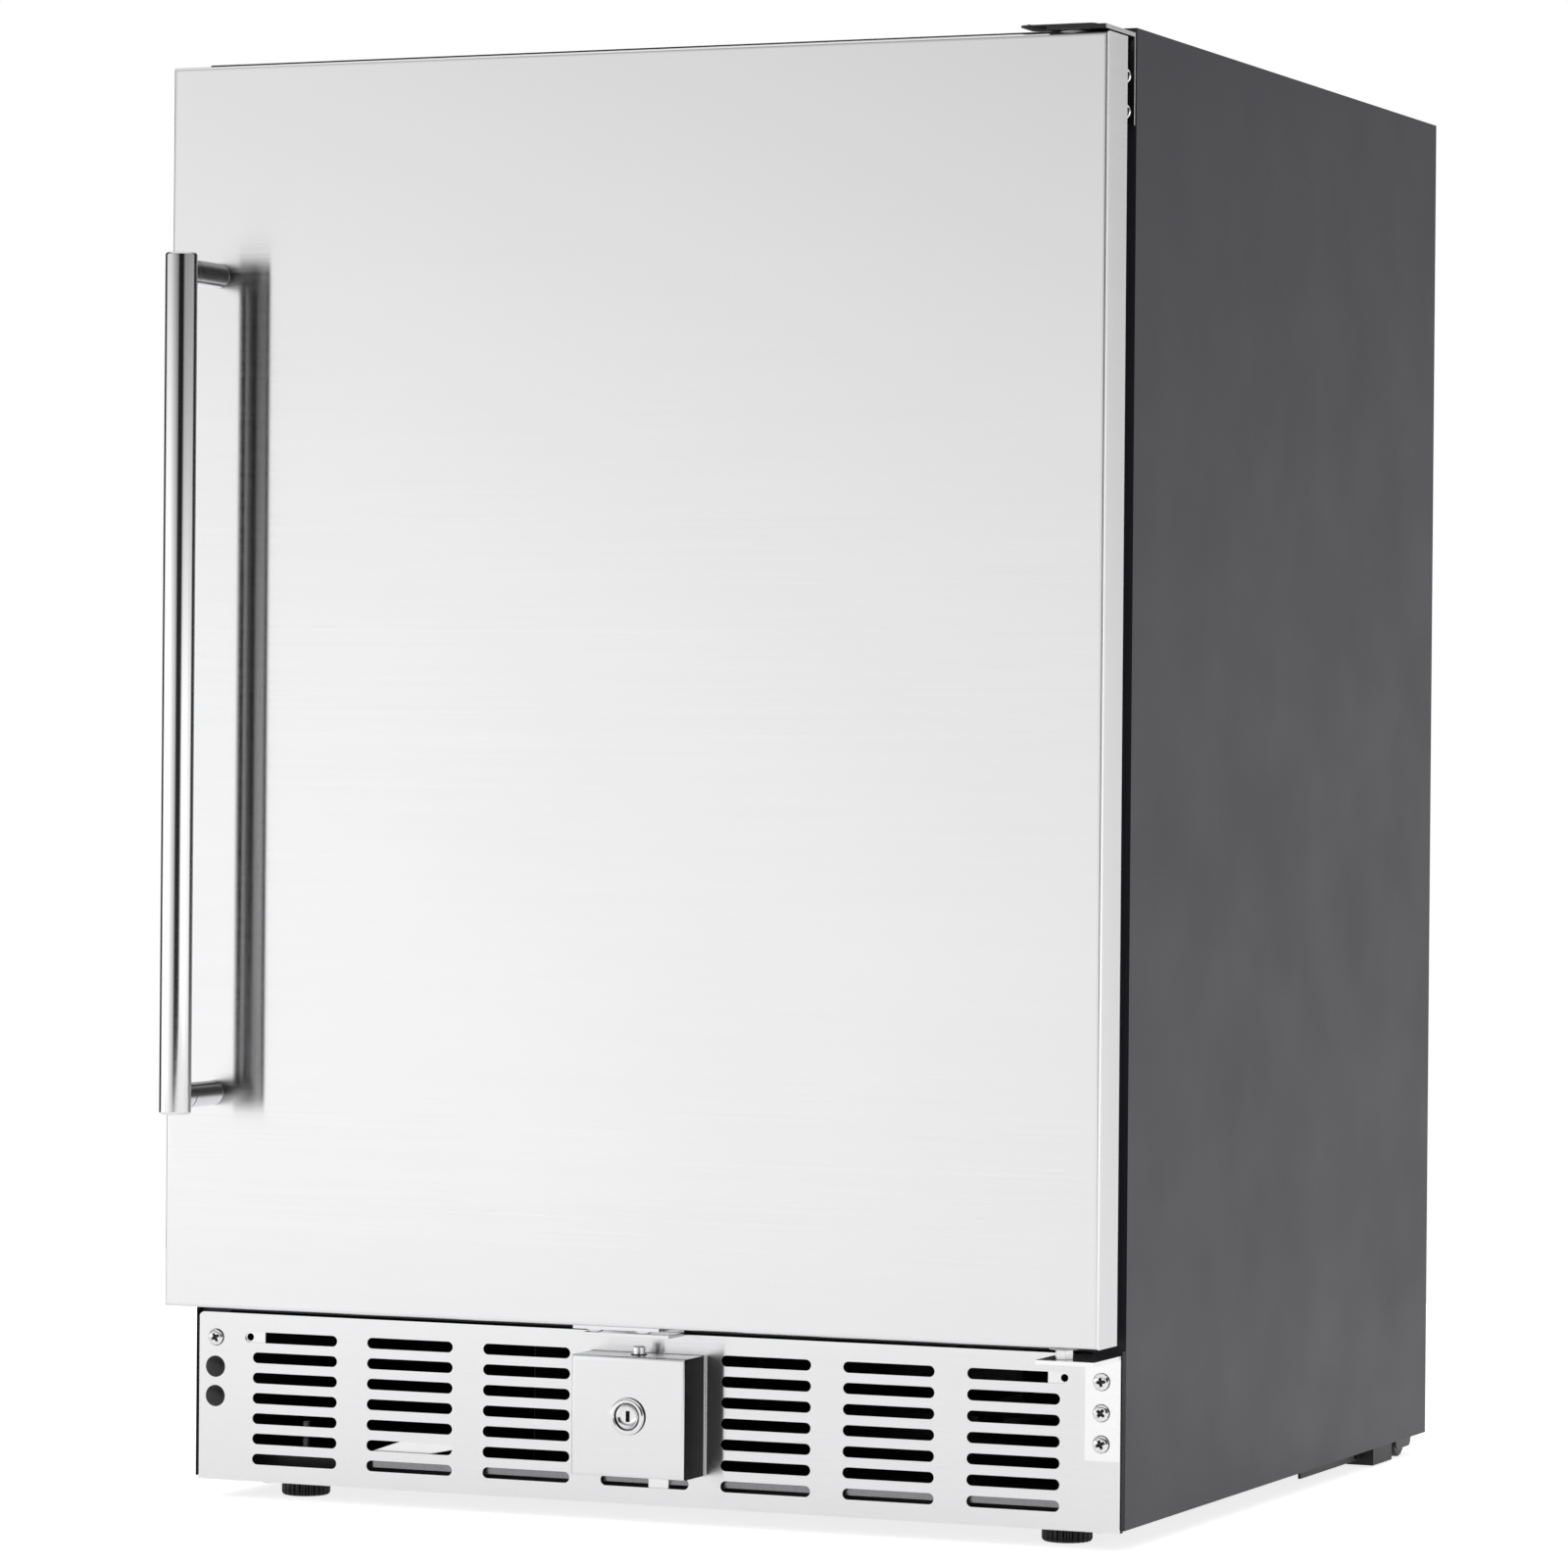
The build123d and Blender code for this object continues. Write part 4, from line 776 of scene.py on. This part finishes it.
def rollEdges(node, name, width):
    mesh = cadNodes[node].data.copy()
    mesh.name = name
    work = bmesh.new()
    work.from_mesh(mesh)
    bmesh.ops.remove_doubles(work, verts=work.verts, dist=1e-6)
    bmesh.ops.dissolve_limit(work, angle_limit=math.radians(0.5), verts=work.verts, edges=work.edges)
    work.to_mesh(mesh)
    work.free()
    obj = finishMesh(name, mesh, cadNodes[node].data.materials[0], nodeBody[node], [node], 30,
                     recalc=False)
    addBevel(obj, width)


rolledParts = {
    "kick_grille": ("kickGrille", 0.35), "strike_bracket": ("strikeBracket", 0.35),
    "lower_hinge_bracket": ("lowerHingeBracket", 0.5), "upper_hinge_bracket": ("upperHingeBracket", 0.5),
    "hinge_pins": ("hingePins", 0.35), "upper_hinge_cap": ("upperHingeCap", 0.4),
    "lock_bolt": ("lockBolt", 0.3), "panel_clips": ("panelClips", 0.3), "cord_gland": ("cordGland", 0.6),
    "left_side_panel": ("leftSidePanel", 0.4), "right_side_panel": ("rightSidePanel", 0.4),
    "top_panel": ("topPanel", 0.4), "control_housing": ("controlHousing", 0.6),
    "power_button": ("powerButton", 0.3), "warmer_button": ("warmerButton", 0.3),
    "colder_button": ("colderButton", 0.3), "base_rails": ("baseRails", 0.4),
    "roller_brackets": ("rollerBrackets", 0.4), "door_liner": ("doorLiner", 1.0),
    "inner_liner": ("innerLiner", 0.6), "compressor": ("compressorBody", 1.2),
    "rear_service_cover": ("rearServiceCover", 0.25), "back_panel": ("backPanel", 0.3),
    "evaporator_cover": ("evaporatorCover", 0.5), "left_rear_roller": ("leftRearRoller", 0.3),
    "right_rear_roller": ("rightRearRoller", 0.3), "condenser_fan_shroud": ("condenserFanShroud", 0.4),
}
for node, (name, width) in rolledParts.items():
    rollEdges(node, name, width)
print("rolled edges on", len(rolledParts), "parts")

# painted shade: the folded ends of the grille take the near-black look for the shade beside them; the faces of
# the upper leaf turned to +X take the bright zinc look
grille = bpy.data.objects["kickGrille"]
atEnds = (np.abs(faceNormals(grille)[:, 0]) > 0.7) & (np.abs(faceCentres(grille)[:, 0]) > 290)
secondMaterial(grille, looks["lock_edge"], atEnds)
leaf = bpy.data.objects["upperHingeBracket"]
secondMaterial(leaf, baseLooks["lower_hinge_bracket"], faceNormals(leaf)[:, 0] > 0.7)

# ---- cross rail seen through the low slots ----
railSettings = {"low": 24.2, "high": 33.0, "left": -181.0, "right": 278.0, "depth": -1.0}


def makeRail(look):
    # a channel section carried along X: x from end to end, (y, z) round the channel
    y, low, high = frontY / mm + look["depth"], look["low"], look["high"]
    section = np.array([(0, low), (9, low), (9, low + 1), (1, low + 1), (1, high - 1), (9, high - 1), (9, high),
                        (0, high)])
    xs = np.array([look["left"], look["right"]])
    grid = np.stack(np.broadcast_arrays(xs[:, None], y + section[None, :, 0], section[None, :, 1]), -1) * mm
    addBevel(buildPiece("frontCrossRail", [(grid, False, True)], baseLooks["cross_rail"], "cabinet",
                        caps=[grid[0], grid[-1]]), 0.3)


makeRail(railSettings)


def foldedStrip(name, section, ends, material, width=0.3):
    # a closed section of (x, y) carried upward between two heights
    section = np.asarray(section, float)
    zs = np.array(ends, float)
    ys = frontY / mm + section[:, 1]
    grid = np.stack(np.broadcast_arrays(section[None, :, 0], ys[None, :], zs[:, None]), -1) * mm
    strip = buildPiece(name, [(grid, False, True)], material, "cabinet", caps=[grid[0], grid[-1]])
    addBevel(strip, width)


# side panel returns beside the kick grille, coloured near-black as painted shade, and a small tab behind the
# middle slot
for side, sign in (("left", -1), ("right", 1)):
    outline = [(298.5 * sign, -6.2), (297.6 * sign, -6.2), (297.6 * sign, -0.2), (298.5 * sign, -0.2)]
    foldedStrip(side + "BaseReturn", outline, (14.0, 116.0), looks["lock_edge"], 0.15)
foldedStrip("slotTab", [(2.0, -3.8), (15.0, -3.8), (15.0, -1.5), (8.0, -1.2), (2.0, -1.5)], (18.0, 29.5),
            baseLooks["panel_clips"])

# sloped pan behind the second column of slots
panSettings = {
    "outline": [(-181.0, 34.2), (-160.0, 41.6), (-124.0, 41.6), (-124.0, 38.2), (-143.0, 34.2)],
    "y": (-2.6, -1.8)
}


def makePan(look):
    # a closed outline of (x, z) carried back between two depths
    outline = np.array(look["outline"])
    ys = frontY / mm + np.array(look["y"])
    grid = np.stack(np.broadcast_arrays(outline[None, :, 0], ys[:, None], outline[None, :, 1]), -1) * mm
    addBevel(buildPiece("slopedPan", [(grid, False, True)], baseLooks["panel_clips"], "cabinet",
                        caps=[grid[0], grid[-1]]), 0.2)


makePan(panSettings)

# ---- camera, floor and studio light ----
cameraSettings = {
    "place": (1.4959, frontY - 3.3160, 0.4557), "azimuth": 23.07, "pitch": 0.294, "roll": 0.469, "lens": 141.79
}


def makeCamera(look):
    data = bpy.data.cameras.new("camera")
    data.lens = look["lens"]
    data.sensor_width = 36.0
    data.clip_end = 50.0
    camera = bpy.data.objects.new("camera", data)
    bpy.context.scene.collection.objects.link(camera)
    a, e, r = (math.radians(look[key]) for key in ("azimuth", "pitch", "roll"))
    back = Vector((math.sin(a) * math.cos(e), -math.cos(a) * math.cos(e), math.sin(e)))
    right = Vector((math.cos(a), math.sin(a), 0.0))
    up = right.cross(-back)
    turnedRight = math.cos(r) * right + math.sin(r) * up
    turnedUp = -math.sin(r) * right + math.cos(r) * up
    aim = Matrix((turnedRight, turnedUp, back)).transposed().to_4x4()
    camera.matrix_world = Matrix.Translation(look["place"]) @ aim
    bpy.context.scene.camera = camera


makeCamera(cameraSettings)

floorSettings = {"half": 1.4, "colour": (0.9, 0.9, 0.9), "glow": 0.4, "glowSeen": 0.8}


def makeFloor(look):
    # a flat square grid on z = 0
    line = np.linspace(-look["half"], look["half"], 41)
    x, y = np.meshgrid(line, line)
    grid = np.stack([x, y, np.zeros_like(x)], -1)
    mesh = bpy.data.meshes.new("floor")
    mesh.from_pydata(grid.reshape(-1, 3), [], gridFaces(41, 41).tolist())
    material, tree, shader, where = startMaterial("paleFloor")
    shade = tuple(c * 0.985 for c in look["colour"])
    tone = blendColour(tree, noise(tree, where, 3.0, 4.0), shade, look["colour"])
    tree.links.new(tone, shader.inputs["Base Color"])
    shader.inputs["Roughness"].default_value = 0.9
    shader.inputs["Specular IOR Level"].default_value = 0.1
    shader.inputs["Emission Color"].default_value = (1, 1, 1, 1)
    seen = tree.nodes.new("ShaderNodeLightPath").outputs["Is Camera Ray"]
    glow = remap(tree, seen, 0, 1, look["glow"], look["glowSeen"])
    tree.links.new(glow, shader.inputs["Emission Strength"])
    mesh.materials.append(material)
    obj = bpy.data.objects.new("floor", mesh)
    bpy.context.scene.collection.objects.link(obj)


makeFloor(floorSettings)

# soft boxes in the room round the object: (from, to) in degrees from the front, positive to the right
studioSettings = {
    "room": 0.02, "dark": (9.0, 50.0, 9.0), "left": (-45.0, 0.0, 1.24, 0.54), "leftEnd": -93.0, "right": 1.1,
    "rightBack": (125.0, 172.0, 1.0, 0.5), "rightFall": (-0.02, 0.16, 1.0, 0.55), "ceiling": 0.9,
    "fall": (0.02, 0.26, 1.14, 0.4)
}


def makeStudio(look):
    world = bpy.data.worlds.new("studio")
    bpy.context.scene.world = world
    world.use_nodes = True
    tree = world.node_tree
    tree.nodes.clear()
    direction = tree.nodes.new("ShaderNodeTexCoord").outputs["Generated"]
    parts = addNode(tree, "ShaderNodeSeparateXYZ", {0: direction}).outputs
    forward = math2(tree, "MULTIPLY", parts["Y"], -1.0)
    angle = math2(tree, "MULTIPLY", math2(tree, "ARCTAN2", parts["X"], forward), 180 / math.pi)
    start, end, soft = look["dark"]  # the unlit side of the room, behind the camera
    leftSide = addNode(tree, "ShaderNodeMapRange", {
        "Value": angle, "From Min": start - soft, "From Max": start + soft, "To Min": 1.0, "To Max": 0.0
    }, interpolation_type="SMOOTHSTEP").outputs["Result"]
    rightSide = addNode(tree, "ShaderNodeMapRange", {
        "Value": angle, "From Min": end - soft, "From Max": end + soft, "To Min": 0.0, "To Max": look["right"]
    }, interpolation_type="SMOOTHSTEP").outputs["Result"]
    rightSide = math2(tree, "MULTIPLY", rightSide, remap(tree, angle, *look["rightBack"]))
    rightSide = math2(tree, "MULTIPLY", rightSide, remap(tree, parts["Z"], *look["rightFall"]))
    leftBack = remap(tree, angle, look["leftEnd"] - soft, look["leftEnd"] + soft, 0.0, 1.0)
    leftBox = math2(tree, "MULTIPLY", leftSide, leftBack)
    leftBox = math2(tree, "MULTIPLY", leftBox, remap(tree, angle, *look["left"]))
    total = math2(tree, "ADD", math2(tree, "ADD", leftBox, rightSide), look["room"])
    lowZ, highZ, bright, dim = look["fall"]
    total = math2(tree, "MULTIPLY", total, remap(tree, parts["Z"], lowZ, highZ, bright, dim))
    ceiling = addNode(tree, "ShaderNodeMapRange", {
        "Value": parts["Z"], "From Min": 0.5, "From Max": 0.75, "To Min": 0.0, "To Max": look["ceiling"]
    }, interpolation_type="SMOOTHSTEP").outputs["Result"]
    total = math2(tree, "MAXIMUM", total, ceiling)
    studio = addNode(tree, "ShaderNodeBackground", {"Color": (1, 1, 1, 1), "Strength": total}).outputs[0]
    backdrop = addNode(tree, "ShaderNodeBackground", {"Color": (1, 1, 1, 1), "Strength": 1.0}).outputs[0]
    seen = tree.nodes.new("ShaderNodeLightPath").outputs["Is Camera Ray"]
    both = addNode(tree, "ShaderNodeMixShader", {0: seen, 1: studio, 2: backdrop}).outputs[0]
    output = tree.nodes.new("ShaderNodeOutputWorld")
    tree.links.new(both, output.inputs["Surface"])
    bpy.context.scene.view_settings.view_transform = "Standard"


makeStudio(studioSettings)
print("camera, floor and light made")
